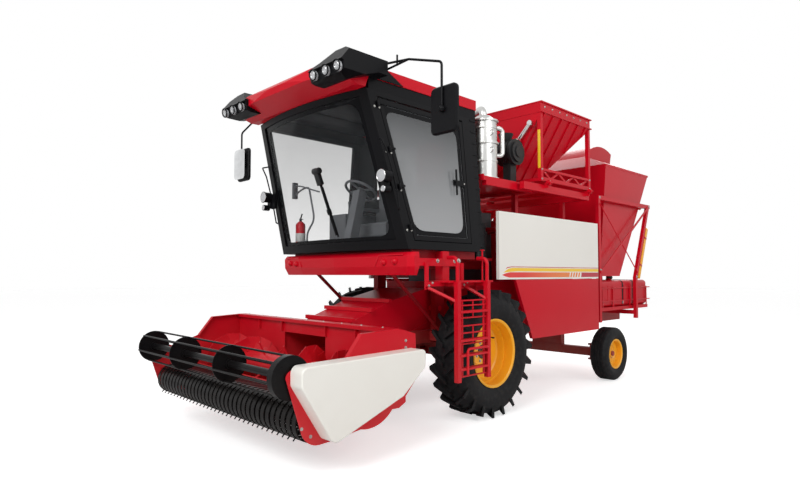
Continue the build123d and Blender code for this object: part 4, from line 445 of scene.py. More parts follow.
class Bench:
    """Tools that shape new pieces, find the CAD faces they sit on and seat them on their bodies."""

    def __init__(self, finishes: "Finishes") -> None:
        """Keep the finishes that pieces take."""
        self.finishes = finishes

    def clear(self) -> None:
        """Deselect everything."""
        bpy.ops.object.select_all(action="DESELECT")

    def block(self, low: Point, high: Point) -> bpy.types.Object:
        """Make a box between two corners."""
        self.clear()
        size = [top - foot for foot, top in zip(low, high)]
        middle = [(top + foot) / 2.0 for foot, top in zip(low, high)]
        bpy.ops.mesh.primitive_cube_add(size=1.0, location=middle, scale=size)
        return bpy.context.object

    def drum(self, start: Point, end: Point, radius: float, top: float | None = None,
             sides: int = 32) -> bpy.types.Object:
        """Make a cylinder or cone between two points.

        Args:
            start: Centre of the first end.
            end: Centre of the other end.
            radius: Radius at the start.
            top: Radius at the end, the same by default.
            sides: Facets round it.

        Returns:
            The new object.
        """
        self.clear()
        axis = Vector(end) - Vector(start)
        bpy.ops.mesh.primitive_cone_add(
            vertices=sides, radius1=radius, radius2=radius if top is None else top, depth=axis.length,
            location=(Vector(start) + Vector(end)) / 2.0, rotation=axis.to_track_quat("Z", "Y").to_euler())
        return bpy.context.object

    def ring(self, at: Point, axis: Point, major: float, minor: float) -> bpy.types.Object:
        """Make a round ring about an axis."""
        self.clear()
        turn = Vector(axis).to_track_quat("Z", "Y").to_euler()
        bpy.ops.mesh.primitive_torus_add(
            location=at, rotation=turn, major_radius=major, minor_radius=minor, major_segments=48,
            minor_segments=10)
        return bpy.context.object

    def beam(self, start: Point, end: Point, width: float, depth: float, face: Point) -> bpy.types.Object:
        """Make a flat bar between two points.

        Args:
            start: Centre of one end.
            end: Centre of the other end.
            width: Size across, square to face.
            depth: Size along face.
            face: Direction of the bar's broad face.

        Returns:
            The new object.
        """
        along = (Vector(end) - Vector(start))
        length = along.length
        along.normalize()
        out = (Vector(face) - along * Vector(face).dot(along)).normalized()
        side = along.cross(out)
        self.clear()
        bpy.ops.mesh.primitive_cube_add(size=1.0)
        bar = bpy.context.object
        middle = (Vector(start) + Vector(end)) / 2.0
        for vertex in bar.data.vertices:
            shift = side * vertex.co.x * width + out * vertex.co.y * depth + along * vertex.co.z * length
            vertex.co = middle + shift
        return bar

    def prism(self, outline: list[Point], push: Point) -> bpy.types.Object:
        """Extrude a closed flat outline by a vector."""
        work = bmesh.new()
        work.faces.new([work.verts.new(point) for point in outline])
        return self.thickened(work, push)

    def band(self, outer: list[Vector], inner: list[Vector], push: Vector) -> bpy.types.Object:
        """Bridge two closed outlines of as many points and give the band a thickness.

        Args:
            outer: Points of the outer outline.
            inner: Points of the inner outline, in step with the outer ones.
            push: Thickness as a vector.

        Returns:
            The new object.
        """
        work = bmesh.new()
        far = [work.verts.new(point) for point in outer]
        near = [work.verts.new(point) for point in inner]
        for index in range(len(far)):
            after = (index + 1) % len(far)
            work.faces.new((far[index], far[after], near[after], near[index]))
        return self.thickened(work, push)

    def thickened(self, work: bmesh.types.BMesh, push: Point | Vector) -> bpy.types.Object:
        """Extrude a sheet of faces by a vector and make an object of it."""
        grown = bmesh.ops.extrude_face_region(work, geom=list(work.faces))
        moved = [item for item in grown["geom"] if isinstance(item, bmesh.types.BMVert)]
        bmesh.ops.translate(work, verts=moved, vec=push)
        bmesh.ops.recalc_face_normals(work, faces=work.faces)
        mesh = bpy.data.meshes.new("sheet")
        work.to_mesh(mesh)
        work.free()
        return self.link(mesh)

    def tube(self, points: list[Point], radius: float) -> bpy.types.Object:
        """Sweep a round tube along a smooth route."""
        curve = bpy.data.curves.new("route", "CURVE")
        curve.dimensions = "3D"
        curve.bevel_depth = radius
        curve.bevel_resolution = 3
        curve.use_fill_caps = True
        spline = curve.splines.new("NURBS")
        spline.points.add(len(points) - 1)
        for knot, point in zip(spline.points, points):
            knot.co = (*point, 1.0)
        spline.order_u = 3
        spline.use_endpoint_u = True
        spline.resolution_u = 6
        route = bpy.data.objects.new("route", curve)
        mesh = bpy.data.meshes.new_from_object(route)
        bpy.data.objects.remove(route)
        return self.link(mesh)

    def link(self, mesh: bpy.types.Mesh) -> bpy.types.Object:
        """Put a mesh in the scene as an object."""
        made = bpy.data.objects.new(mesh.name, mesh)
        bpy.context.scene.collection.objects.link(made)
        return made

    def touch(self, start: Point, way: Point, *nodes: str) -> tuple[Vector, Vector]:
        """Find where a straight probe first meets the named CAD nodes.

        Args:
            start: Start of the probe.
            way: Its direction.
            nodes: Node names.

        Returns:
            The point and the face's normal there.
        """
        nearest = None
        for name in nodes:
            found, place, normal, _ = NODES[name].ray_cast(Vector(start), Vector(way).normalized())
            if found and (nearest is None or (place - Vector(start)).length < nearest[0]):
                nearest = ((place - Vector(start)).length, place.copy(), normal.copy())
        if nearest is None:
            raise ValueError(f"no face of {nodes} from {start}")
        return nearest[1], nearest[2]

    def beside(self, side: int, y: float, z: float, *nodes: str) -> tuple[Vector, Vector]:
        """Find the outermost face of the nodes at Y, Z: side is 1 for left and -1 for right."""
        return self.touch((side * PROBE_X, y, z), (-side, 0.0, 0.0), *nodes)

    def ahead(self, x: float, z: float, *nodes: str) -> tuple[Vector, Vector]:
        """Find the foremost face of the nodes at X, Z."""
        return self.touch((x, PROBE_Y, z), (0.0, 1.0, 0.0), *nodes)

    def cling(self, node: str, guess: Point) -> Vector:
        """Find the point of a node's surface nearest to a guess."""
        _, place, _, _ = NODES[node].closest_point_on_mesh(Vector(guess))
        return place.copy()

    def bolt(self, size: float) -> bpy.types.Object:
        """Shape one hexagon bolt head on its washer, standing on +Z with its foot at the origin."""
        washer = self.drum((0.0, 0.0, 0.0), (0.0, 0.0, size * 0.16), size * 1.05, size * 1.0, 20)
        head = self.drum((0.0, 0.0, size * 0.14), (0.0, 0.0, size * 0.72), size * 0.62, size * 0.62, 6)
        crown = self.drum((0.0, 0.0, size * 0.72), (0.0, 0.0, size * 0.80), size * 0.62, size * 0.48, 6)
        self.clear()
        for part in (washer, head, crown):
            part.select_set(True)
        bpy.context.view_layer.objects.active = washer
        bpy.ops.object.join()
        bpy.ops.object.transform_apply(location=True, rotation=True, scale=True)
        return bpy.context.object

    def copies(self, model: bpy.types.Object, places: Places) -> list[bpy.types.Object]:
        """Copy a model standing on +Z to each place, each copy with its own mesh.

        Args:
            model: The model, which is used up.
            places: Foot point and direction of each copy.

        Returns:
            The copies.
        """
        made = []
        for place, normal in places:
            mesh = model.data.copy()
            mesh.transform(Matrix.Translation(place) @ normal.to_track_quat("Z", "Y").to_matrix().to_4x4())
            made.append(self.link(mesh))
        bpy.data.objects.remove(model)
        return made

    def bolts(self, size: float, places: Places, name: str, body: str = "chassis") -> None:
        """Set a bolt at each place, all as one bright piece."""
        self.seat(self.copies(self.bolt(size), places), name, "zinc_bolt", Slot.STEEL, body=body)

    def circle(self, rim: str, side: int, y: float, z: float, count: int, radius: float,
               turn: float) -> Places:
        """Find the places of a circle of bolts on a rim.

        Args:
            rim: The rim's node.
            side: 1 for left and -1 for right.
            y: Y of the wheel's axis.
            z: Z of the wheel's axis.
            count: Bolts in the circle.
            radius: Its radius.
            turn: Share of a step by which the first bolt is turned.

        Returns:
            The places.
        """
        angles = [2.0 * math.pi * (index + turn) / count for index in range(count)]
        return [self.beside(side, y + radius * math.cos(angle), z + radius * math.sin(angle), rim)
                for angle in angles]

    def seat(self, parts: list[bpy.types.Object], name: str, finish: str, slot: Slot,
             bevel: float = 0.0, body: str = "chassis") -> None:
        """Join parts to one piece, finish it and make it ride on its body.

        Args:
            parts: Objects to join.
            name: Piece name.
            finish: Finish name.
            slot: Material slot of the record; not used.
            bevel: Width of the edge bevel, none at 0.
            body: Body it rides on.
        """
        self.clear()
        for part in parts:
            part.select_set(True)
        bpy.context.view_layer.objects.active = parts[0]
        if len(parts) > 1:
            bpy.ops.object.join()
        piece = bpy.context.object
        bpy.ops.object.transform_apply(location=True, rotation=True, scale=True)
        if bevel > 0.0:
            edge = piece.modifiers.new("edge", "BEVEL")
            edge.width = bevel
            edge.segments = 2
            edge.limit_method = "ANGLE"
            bpy.ops.object.modifier_apply(modifier="edge")
        bpy.ops.object.mode_set(mode="EDIT")
        bpy.ops.mesh.select_all(action="SELECT")
        bpy.ops.mesh.normals_make_consistent(inside=False)
        bpy.ops.object.mode_set(mode="OBJECT")
        piece.name = name
        piece.data.name = name
        piece.data.materials.clear()
        piece.data.materials.append(self.finishes.made[finish])
        bpy.ops.object.shade_smooth_by_angle(angle=math.radians(SMOOTH_DEG))
        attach(piece, body)
        LOG.info("piece %s on %s: %d faces", name, body, len(piece.data.polygons))


def rounded(corners: Flat, radius: float, steps: int = 6, run: int = 10) -> list[Vector]:
    """Turn a closed flat outline's corners into arcs and divide its straight runs.

    Args:
        corners: Corner points.
        radius: How far along its sides a corner is rounded.
        steps: Points round a corner, less one.
        run: Points added on each side.

    Returns:
        Points of the outline, as many for any radius.
    """
    points = []
    for index, corner in enumerate(corners):
        here = Vector(corner)
        back = here + (Vector(corners[index - 1]) - here).normalized() * radius
        after = Vector(corners[(index + 1) % len(corners)])
        ahead = here + (after - here).normalized() * radius
        for step in range(steps + 1):
            share = step / steps
            points.append(back * (1 - share) ** 2 + here * 2 * share * (1 - share) + ahead * share ** 2)
        stop = after + (here - after).normalized() * radius
        points.extend(ahead.lerp(stop, (step + 1) / (run + 1)) for step in range(run))
    return points


def shrunk(corners: Flat, margin: float) -> Flat:
    """Move each side of a convex outline, given anticlockwise, inward by a margin."""
    lines = []
    for index, corner in enumerate(corners):
        here = Vector(corner)
        along = (Vector(corners[(index + 1) % len(corners)]) - here).normalized()
        lines.append((here + Vector((-along.y, along.x)) * margin, along))
    moved = []
    for index, (point, along) in enumerate(lines):
        before, way = lines[index - 1]
        gap = point - before
        reach = (gap.x * along.y - gap.y * along.x) / (way.x * along.y - way.y * along.x)
        moved.append(tuple(before + way * reach))
    return moved


@dataclass
class SideStripes:
    """Printed bands along the foot of the cream panels on both sides."""

    film: float = 0.0008
    tip: float = -0.61
    rear: float = 1.676
    flame_end: float = 0.88
    check: float = 0.030
    check_foot: float = 1.5015
    check_pitch: float = 0.068

    def sheet(self, bench: Bench, side: int, outline: Flat) -> bpy.types.Object:
        """Lay one film of the given Y, Z outline on a side's panel."""
        face = bench.beside(side, 0.5, 1.55, "upper_panels")[0].x
        return bench.prism([(face, y, z) for y, z in outline], (side * self.film, 0.0, 0.0))

    def checks(self) -> list[Flat]:
        """Outlines of the slanted blocks between flame and tail."""
        blocks = []
        for row in range(2):
            foot = self.check_foot + row * self.check
            top = foot + self.check
            for column in range(4):
                y = self.flame_end + 0.02 + column * self.check_pitch + row * 0.012
                blocks.append([(y, foot), (y + 0.042, foot), (y + 0.052, top), (y + 0.010, top)])
        return blocks

    def build(self, bench: Bench) -> None:
        """Lay every band on both sides."""
        tip, rear, end = self.tip, self.rear, self.flame_end
        line = [(tip + 0.07, 1.598), (tip + 0.12, 1.612), (tip + 0.20, 1.620), (rear, 1.620),
                (rear, 1.628), (tip + 0.19, 1.628), (tip + 0.10, 1.619)]
        yellow = [(tip + 0.02, 1.556), (tip + 0.14, 1.566), (tip + 0.30, 1.573), (rear, 1.573),
                  (rear, 1.612), (tip + 0.20, 1.612), (tip + 0.12, 1.600)]
        flame = [(tip, 1.531), (tip + 0.07, 1.512), (tip + 0.14, 1.501), (end, 1.501),
                 (end + 0.012, 1.562), (tip + 0.16, 1.562), (tip + 0.07, 1.549)]
        tail = [(end + 0.31, 1.501), (rear, 1.501), (rear, 1.562), (end + 0.322, 1.562)]
        for name, outlines, finish, slot in (
            ("stripe_line", [line, tail], "stripe_crimson", Slot.RED),
            ("stripe_yellow_band", [yellow], "stripe_yellow", Slot.YELLOW),
            ("stripe_flame_band", [flame], "stripe_flame", Slot.RED),
            ("stripe_checks", self.checks(), "stripe_flame", Slot.RED),
        ):
            parts = [self.sheet(bench, side, outline) for side in SIDES for outline in outlines]
            bench.seat(parts, name, finish, slot)


@dataclass
class GlassBorders:
    """Black printed borders round the windscreen and the door's pane."""

    film: float = 0.0012
    width: float = 0.045
    corner: float = 0.14
    edge_corner: float = 0.004
    inset: float = 0.006
    door_front: float = -1.980
    middle: tuple[float, float] = (0.0, 2.54)
    tries: int = 12
    pull: float = 0.004

    def outlines(self, edge: Flat) -> list[list[Vector]]:
        """Outer and inner outline of the border inside an edge."""
        return [rounded(edge, self.edge_corner), rounded(shrunk(edge, self.width), self.corner)]

    def on_pane(self, bench: Bench, flat: Vector) -> Vector:
        """Find the windscreen's point at X, Z, or the nearest one toward its middle."""
        for step in range(self.tries):
            spot = flat.lerp(Vector(self.middle), step * self.pull)
            try:
                place, _ = bench.ahead(spot.x, spot.y, "cab_glass")
            except ValueError:
                continue
            if place.y < -2.0:
                return place
        raise ValueError(f"no windscreen near {flat}")

    def windscreen(self, bench: Bench) -> bpy.types.Object:
        """Print the border on the curved windscreen."""
        edge = [(-0.950, 1.866), (0.950, 1.866), (0.829, 3.212), (-0.829, 3.212)]
        rings = [[self.on_pane(bench, flat) for flat in outline] for outline in self.outlines(edge)]
        push = Vector((0.0, -1.0, 0.27)).normalized() * self.film
        return bench.band(rings[0], rings[1], push)

    def door(self, bench: Bench) -> bpy.types.Object:
        """Print the border on the door's flat pane."""
        low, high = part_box("door_glass")
        foot, top, rear = low[2] + self.inset, high[2] - self.inset, high[1] - self.inset
        front_top = self.door_front - PILLAR_LEAN * (high[2] - low[2])
        edge = [(self.door_front, foot), (rear, foot), (rear, top), (front_top, top)]
        rings = [[bench.cling("door_glass", (1.10 - 0.095 * (flat.y - 1.9), flat.x, flat.y))
                  for flat in outline] for outline in self.outlines(edge)]
        return bench.band(rings[0], rings[1], Vector((1.0, 0.0, 0.09)).normalized() * self.film)

    def build(self, bench: Bench) -> None:
        """Print both borders."""
        bench.seat([self.windscreen(bench)], "windscreen_border", "black_gloss", Slot.BLACK)
        bench.seat([self.door(bench)], "door_pane_border", "black_gloss", Slot.BLACK, body="door")


@dataclass
class Wiper:
    """Windscreen wiper: its motor housing at the top, the arm and the long blade below."""

    top: tuple[float, float] = (0.10, 2.44)
    foot: tuple[float, float] = (0.19, 1.90)
    out: Point = (0.0, -0.96, 0.27)

    def on_glass(self, bench: Bench, x: float, z: float, lift: float) -> Vector:
        """Point held off the windscreen."""
        place = bench.cling("cab_glass", (x, -2.30 - (z - 1.8) * 0.28, z))
        return place + Vector(self.out) * lift

    def build(self, bench: Bench) -> None:
        """Shape the wiper."""
        out = self.out
        head = self.on_glass(bench, *self.top, 0.030)
        tail = self.on_glass(bench, *self.foot, 0.030)
        down = (tail - head).normalized()
        body = bench.beam(head - down * 0.14, head + down * 0.02, 0.062, 0.050, out)
        above = head - down * 0.13
        crown = bench.drum(above - Vector((0.045, 0.0, 0.0)), above + Vector((0.055, 0.0, 0.0)), 0.034)
        spindle = bench.drum(self.on_glass(bench, *self.top, 0.0), head, 0.016)
        bench.seat([body, crown, spindle], "wiper_motor", "plastic_black", Slot.PLASTIC, 0.005)
        spine = bench.beam(head + down * 0.02, tail, 0.026, 0.016, out)
        arm = bench.beam(head, head.lerp(tail, 0.55) + Vector(out) * 0.012, 0.016, 0.010, out)
        clip = bench.beam(head.lerp(tail, 0.50), head.lerp(tail, 0.60), 0.038, 0.034, out)
        bench.seat([spine, arm, clip], "wiper_arm", "black_satin", Slot.BLACK, 0.002)
        lip_top = self.on_glass(bench, self.top[0] + 0.004, self.top[1] - 0.03, 0.012)
        lip_foot = self.on_glass(bench, self.foot[0] + 0.002, self.foot[1] - 0.01, 0.012)
        lip = bench.beam(lip_top, lip_foot, 0.007, 0.020, out)
        bench.seat([lip], "wiper_rubber", "tyre_black", Slot.RUBBER, 0.001)


@dataclass
class CabInside:
    """Fire extinguisher and grey grab rail behind the far corner of the windscreen."""

    stand: Point = (-0.86, -1.97, 1.84)
    bottle: float = 0.058
    height: float = 0.30
    neck: float = 0.035
    rail_y: float = -2.02
    lining_half: float = 0.84

    def extinguisher(self, bench: Bench) -> None:
        """Shape the bottle, its label, valve and handle."""
        x, y, z = self.stand
        shoulder_z = z + self.height
        top = shoulder_z + self.neck
        body = bench.drum((x, y, z), (x, y, shoulder_z), self.bottle)
        skirt = bench.drum((x, y, z - 0.006), (x, y, z + 0.012), self.bottle + 0.003)
        shoulder = bench.drum((x, y, shoulder_z), (x, y, top), self.bottle, 0.024)
        bench.seat([body, skirt, shoulder], "extinguisher_bottle", "red_gloss", Slot.RED, 0.004)
        label = bench.drum((x, y, z + 0.09), (x, y, z + 0.19), self.bottle + 0.0012)
        bench.seat([label], "extinguisher_label", "label_white", Slot.GREY, 0.0004)
        valve = bench.drum((x, y, top - 0.004), (x, y, top + 0.035), 0.016)
        lever = bench.beam((x, y, top + 0.03), (x + 0.075, y - 0.03, top + 0.085), 0.016, 0.005, UP)
        grip = bench.beam((x, y, top + 0.02), (x + 0.095, y - 0.03, top + 0.02), 0.016, 0.005, UP)
        bench.seat([valve, lever, grip], "extinguisher_valve", "black_satin", Slot.BLACK, 0.001)

    def rail(self, bench: Bench) -> None:
        """Bend the grab rail from the far pillar to the floor."""
        y = self.rail_y
        rail = [(-0.985, y + 0.06, 2.50), (-0.86, y, 2.52), (-0.72, y, 2.56), (-0.62, y, 2.56),
                (-0.60, y, 2.50), (-0.56, y, 2.36), (-0.50, y, 2.17), (-0.62, y, 2.06), (-0.66, y, 1.98),
                (-0.64, y, 1.84)]
        brace = [(-0.985, y + 0.06, 2.62), (-0.80, y, 2.60), (-0.55, y, 2.52), (-0.44, y + 0.02, 2.49)]
        shelf = [(-0.64, y, 1.93), (-0.76, y, 1.925), (-0.84, y, 1.92)]
        parts = [bench.tube(rail, 0.011), bench.tube(brace, 0.009), bench.tube(shelf, 0.008)]
        bench.seat(parts, "cab_grab_rail", "plastic_grey", Slot.GREY)
        plate = bench.block((-1.005, y + 0.02, 2.46), (-0.965, y + 0.08, 2.66))
        bench.seat([plate], "grab_rail_plate", "plastic_grey", Slot.GREY, 0.004)

    def lining(self, bench: Bench) -> None:
        """Close the ceiling with a dark lining of three pressed fields."""
        under = bench.touch((0.0, -1.7, 2.9), UP, "cab_roof")[0].z
        half = self.lining_half
        plate = bench.block((-half, -2.36, under - 0.016), (half, -1.03, under - 0.004))
        bpy.ops.object.mode_set(mode="EDIT")
        bpy.ops.mesh.select_all(action="SELECT")
        bpy.ops.mesh.bevel(offset=0.003, segments=2)
        bpy.ops.object.mode_set(mode="OBJECT")
        fields = []
        for step in range(3):
            left = -half + 0.06 + step * 0.55
            fields.append(bench.block((left, -2.24, under - 0.024), (left + 0.46, -1.16, under - 0.014)))
        bench.seat([plate, *fields], "ceiling_lining", "black_satin", Slot.PLASTIC, 0.004)

    def build(self, bench: Bench) -> None:
        """Fit them all."""
        self.extinguisher(bench)
        self.rail(bench)
        self.lining(bench)


@dataclass
class DoorFittings:
    """Bright screws on the door's hinge plates and its lock."""

    heights: tuple[float, ...] = (1.96, 2.34, 2.69, 3.11)
    screw: float = 0.011
    lock: float = 2.505

    def build(self, bench: Bench) -> None:
        """Set the screws."""
        places = []
        for z in self.heights:
            front = -2.07 - PILLAR_LEAN * (z - 1.8)
            for step in (0.045, 0.105):
                places.append(bench.beside(1, front + step, z, "cab_shell", "door_frame"))
        bench.bolts(self.screw, places, "door_hinge_screws")
        lock = [bench.beside(1, y, self.lock, "door_frame") for y in (-1.16, -1.29)]
        bench.bolts(0.009, lock, "door_lock_screws", "door")


@dataclass
class PillarLamps:
    """Lenses and bright rims of the work lamps on the front pillars."""

    main: tuple[float, float, float] = (1.036, 2.45, 0.056)
    small: tuple[float, float, float] = (1.052, 2.328, 0.027)
    taper: float = 0.94
    rim: float = 0.07

    def build(self, bench: Bench) -> None:
        """Fit lenses and rims on both sides."""
        lenses = []
        rims = []
        for side in SIDES:
            for x, z, radius in (self.main, self.small):
                place, _ = bench.ahead(side * x, z, "cab_shell", "mirrors")
                back = place + Vector((0.0, 0.002, 0.0))
                front = place + Vector((0.0, -0.004, 0.0))
                middle = place + Vector((0.0, -0.002, 0.0))
                lenses.append(bench.drum(back, front, radius, radius * self.taper, 40))
                rims.append(bench.ring(middle, (0.0, -1.0, 0.0), radius, radius * self.rim))
        bench.seat(lenses, "pillar_lamp_lenses", "lamp_lens", Slot.LAMP, 0.001)
        bench.seat(rims, "pillar_lamp_rims", "chrome_rod", Slot.STEEL)


@dataclass
class RoofLampRims:
    """Black rims round the three work lamps of each roof pod."""

    across: tuple[float, ...] = (0.67, 0.85, 1.02)
    height: float = 3.352
    radius: float = 0.047
    cup: float = 0.55

    def build(self, bench: Bench) -> None:
        """Fit the rims and the bright inner cups."""
        rims = []
        cups = []
        for side in SIDES:
            for x in self.across:
                place, normal = bench.ahead(side * x, self.height, "roof_lamps")
                seat = place + normal * 0.001
                rims.append(bench.ring(seat, tuple(normal), self.radius, 0.006))
                cups.append(bench.ring(seat, tuple(normal), self.radius * self.cup, 0.003))
        bench.seat(rims, "roof_lamp_rims", "black_gloss", Slot.BLACK)
        bench.seat(cups, "roof_lamp_cups", "chrome_rod", Slot.STEEL)


@dataclass
class FrontHubs:
    """Hub plate, bolts and valve of the front drive wheels."""

    bolts: int = 8
    circle: float = 0.105
    size: float = 0.017
    valve: tuple[float, float] = (0.18, 0.14)

    def build(self, bench: Bench) -> None:
        """Fit both wheels."""
        for side, name in ((1, "front_left"), (-1, "front_right")):
            low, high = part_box(f"{name}_rim")
            y = (low[1] + high[1]) / 2.0
            z = (low[2] + high[2]) / 2.0
            wheel = "front_wheel_left" if side > 0 else "front_wheel_right"
            rim = f"{name}_rim"
            ends = bench.circle(rim, side, y, z, self.bolts, self.circle, 0.5)
            bench.bolts(self.size, ends, f"{name}_hub_bolts", wheel)
            face = ends[0][0].x
            plate = bench.drum((face - side * 0.002, y, z), (face + side * 0.012, y, z), 0.078, 0.074, 48)
            cap = bench.drum((face + side * 0.010, y, z), (face + side * 0.034, y, z), 0.046, 0.038, 48)
            bench.seat([plate, cap], f"{name}_hub_plate", "cast_iron", Slot.CHASSIS, 0.002, wheel)
            foot, _ = bench.beside(side, y + self.valve[0], z + self.valve[1], rim)
            out = Vector((side, 0.0, 0.0))
            stem = bench.drum(foot, foot + out * 0.045, 0.007, 0.006, 16)
            tip = bench.drum(foot + out * 0.030, foot + out * 0.055, 0.010, 0.008, 16)
            bench.seat([stem, tip], f"{name}_valve", "plastic_black", Slot.PLASTIC, 0.001, wheel)


@dataclass
class RearHubs:
    """Hub cap and nuts of the rear steered wheels."""

    nuts: int = 5
    circle: float = 0.085
    size: float = 0.012

    def build(self, bench: Bench) -> None:
        """Fit both wheels."""
        for side, name in ((1, "rear_left"), (-1, "rear_right")):
            low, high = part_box(f"{name}_rim")
            y = (low[1] + high[1]) / 2.0
            z = (low[2] + high[2]) / 2.0
            wheel = "rear_wheel_left" if side > 0 else "rear_wheel_right"
            rim = f"{name}_rim"
            ends = bench.circle(rim, side, y, z, self.nuts, self.circle, 0.25)
            bench.bolts(self.size, ends, f"{name}_nuts", wheel)
            face, _ = bench.beside(side, y + 0.03, z, rim)
            cap = bench.drum((face.x - side * 0.002, y, z), (face.x + side * 0.022, y, z), 0.040, 0.032, 40)
            bench.seat([cap], f"{name}_hub_cap", "chassis_red", Slot.CHASSIS, 0.002, wheel)


@dataclass
class LadderBolts:
    """Bolts that hold the ladder's brackets to the side skirt and its posts."""

    size: float = 0.020
    plate_size: float = 0.012
    heads: tuple[float, ...] = (-1.69, -1.61, -1.43, -1.36)
    height: float = 1.672

    def build(self, bench: Bench) -> None:
        """Set the bolts."""
        out = Vector(ACROSS)
        skirt = [(bench.beside(1, y, self.height, "bumper", "ladder")[0], out) for y in self.heads]
        plates = []
        for y in (-1.86, -1.33):
            for z in (1.43, 1.455):
                place, normal = bench.beside(1, y + (z - 1.43) * 2.0, z, "ladder")
                plates.append((place, out if normal.x < 0.9 else normal))
        bench.bolts(self.size, skirt, "skirt_bolts")
        bench.bolts(self.plate_size, plates, "ladder_bolts")


@dataclass
class ExhaustFittings:
    """Clamp bolts and lifting loops of the bright exhaust drum."""

    centre: tuple[float, float] = (0.80, -0.53)
    radius: float = 0.160
    foot: float = 2.65
    bands: tuple[float, ...] = (0.20, 0.41, 0.59, 0.676)
    lug_deg: tuple[float, float] = (-62.0, -53.0)
    loops: tuple[float, ...] = (0.30, 0.50)
    loop_deg: float = -20.0

    def build(self, bench: Bench) -> None:
        """Fit the clamps."""
        lugs = []
        bolts = []
        loops = []
        x, y = self.centre
        for index, rise in enumerate(self.bands):
            angle = math.radians(self.lug_deg[index % 2])
            out = Vector((math.cos(angle), math.sin(angle), 0.0))
            across = Vector((-out.y, out.x, 0.0))
            middle = Vector((x, y, self.foot + rise)) + out * (self.radius + 0.012)
            for shift in (-0.014, 0.014):
                start = middle + across * (shift - 0.003)
                lugs.append(bench.beam(start, start + across * 0.006, 0.026, 0.030, tuple(out)))
            bolts.append(bench.drum(middle - across * 0.034, middle + across * 0.034, 0.006, 0.006, 12))
            bolts.append(bench.drum(middle - across * 0.036, middle - across * 0.026, 0.011, 0.011, 6))
        for rise in self.loops:
            angle = math.radians(self.loop_deg)
            out = Vector((math.cos(angle), math.sin(angle), 0.0))
            foot = Vector((x, y, self.foot + rise)) + out * (self.radius - 0.004)
            span = Vector(UP) * 0.06
            route = (foot, foot + out * 0.05, foot + out * 0.05 + span, foot + span)
            loops.append(bench.tube([tuple(point) for point in route], 0.006))
        bench.seat(lugs, "exhaust_clamp_lugs", "heat_shield", Slot.STEEL, 0.001)
        bench.seat(bolts, "exhaust_clamp_bolts", "zinc_bolt", Slot.STEEL)
        bench.seat(loops, "exhaust_loops", "heat_shield", Slot.STEEL)


@dataclass
class FilterClamps:
    """Steel bands round the air filter."""

    centre: tuple[float, float] = (-0.035, 3.04)
    radius: float = 0.150
    across: tuple[float, ...] = (0.735, 0.925)

    def build(self, bench: Bench) -> None:
        """Fit the bands."""
        parts = []
        y, z = self.centre
        top = z + self.radius
        for x in self.across:
            parts.append(bench.ring((x, y, z), ACROSS, self.radius + 0.001, 0.0045))
            parts.append(bench.block((x - 0.014, y - 0.020, top), (x + 0.014, y + 0.020, top + 0.012)))
        bench.seat(parts, "filter_clamps", "zinc_bolt", Slot.STEEL)


@dataclass
class PodBinTrim:
    """Yellow mark on the bin's front post and bolts at the corners of its frame."""

    mark: tuple[float, float] = (2.86, 3.34)
    bolt: float = 0.013
    row: tuple[float, float] = (0.34, 3.64)
    pitch: float = 0.18

    def build(self, bench: Bench) -> None:
        """Fit the mark and the bolts."""
        face, _ = bench.touch((1.075, -1.0, 3.1), (0.0, 1.0, 0.0), "pod_bin")
        film = bench.block((1.056, face.y - 0.001, self.mark[0]), (1.094, face.y + 0.001, self.mark[1]))
        bench.seat([film], "pod_bin_mark", "stripe_yellow", Slot.YELLOW, 0.0003, "pod_bin")
        places = [bench.beside(1, y, z, "pod_bin") for y in (0.265, 1.485) for z in (2.725, 2.845)]
        y, z = self.row
        places += [bench.beside(1, y + step * self.pitch, z, "pod_bin") for step in range(7)]
        bench.bolts(self.bolt, places, "pod_bin_bolts", "pod_bin")


@dataclass
class VineBinTrim:
    """Yellow safety prop behind the slanted post, pivot bolts and corner bolts of the rear bin."""

    across: float = 1.062
    top: tuple[float, float] = (3.510, 2.640)
    foot: tuple[float, float] = (3.010, 1.480)
    behind: float = 0.088
    span: tuple[float, float] = (0.28, 0.97)
    clips: tuple[float, ...] = (0.42, 0.80)
    bolt: float = 0.018

    def build(self, bench: Bench) -> None:
        """Fit the prop and the bolts."""
        post = Vector((0.0, *self.foot)) - Vector((0.0, *self.top))
        back = Vector((0.0, -post.z, post.y)).normalized()
        head = Vector((self.across, *self.top))
        ends = [head + post * share + back * self.behind for share in self.span]
        prop = bench.beam(*ends, 0.072, 0.046, ACROSS)
        bench.seat([prop], "yellow_prop", "rim_yellow", Slot.YELLOW, 0.006)
        clips = []
        for share in self.clips:
            middle = head + post * share
            end = middle + back * (self.behind + 0.027)
            clips.append(bench.beam(middle, end, 0.030, 0.052, ACROSS))
        bench.seat(clips, "prop_clips", "red_gloss", Slot.RED, 0.002)
        corners = ((3.51, 2.64), (3.01, 1.50), (1.81, 2.64), (1.81, 1.60))
        places = [bench.beside(side, y, z, "vine_frame") for side in SIDES for y, z in corners]
        bench.bolts(self.bolt, places, "vine_frame_bolts")


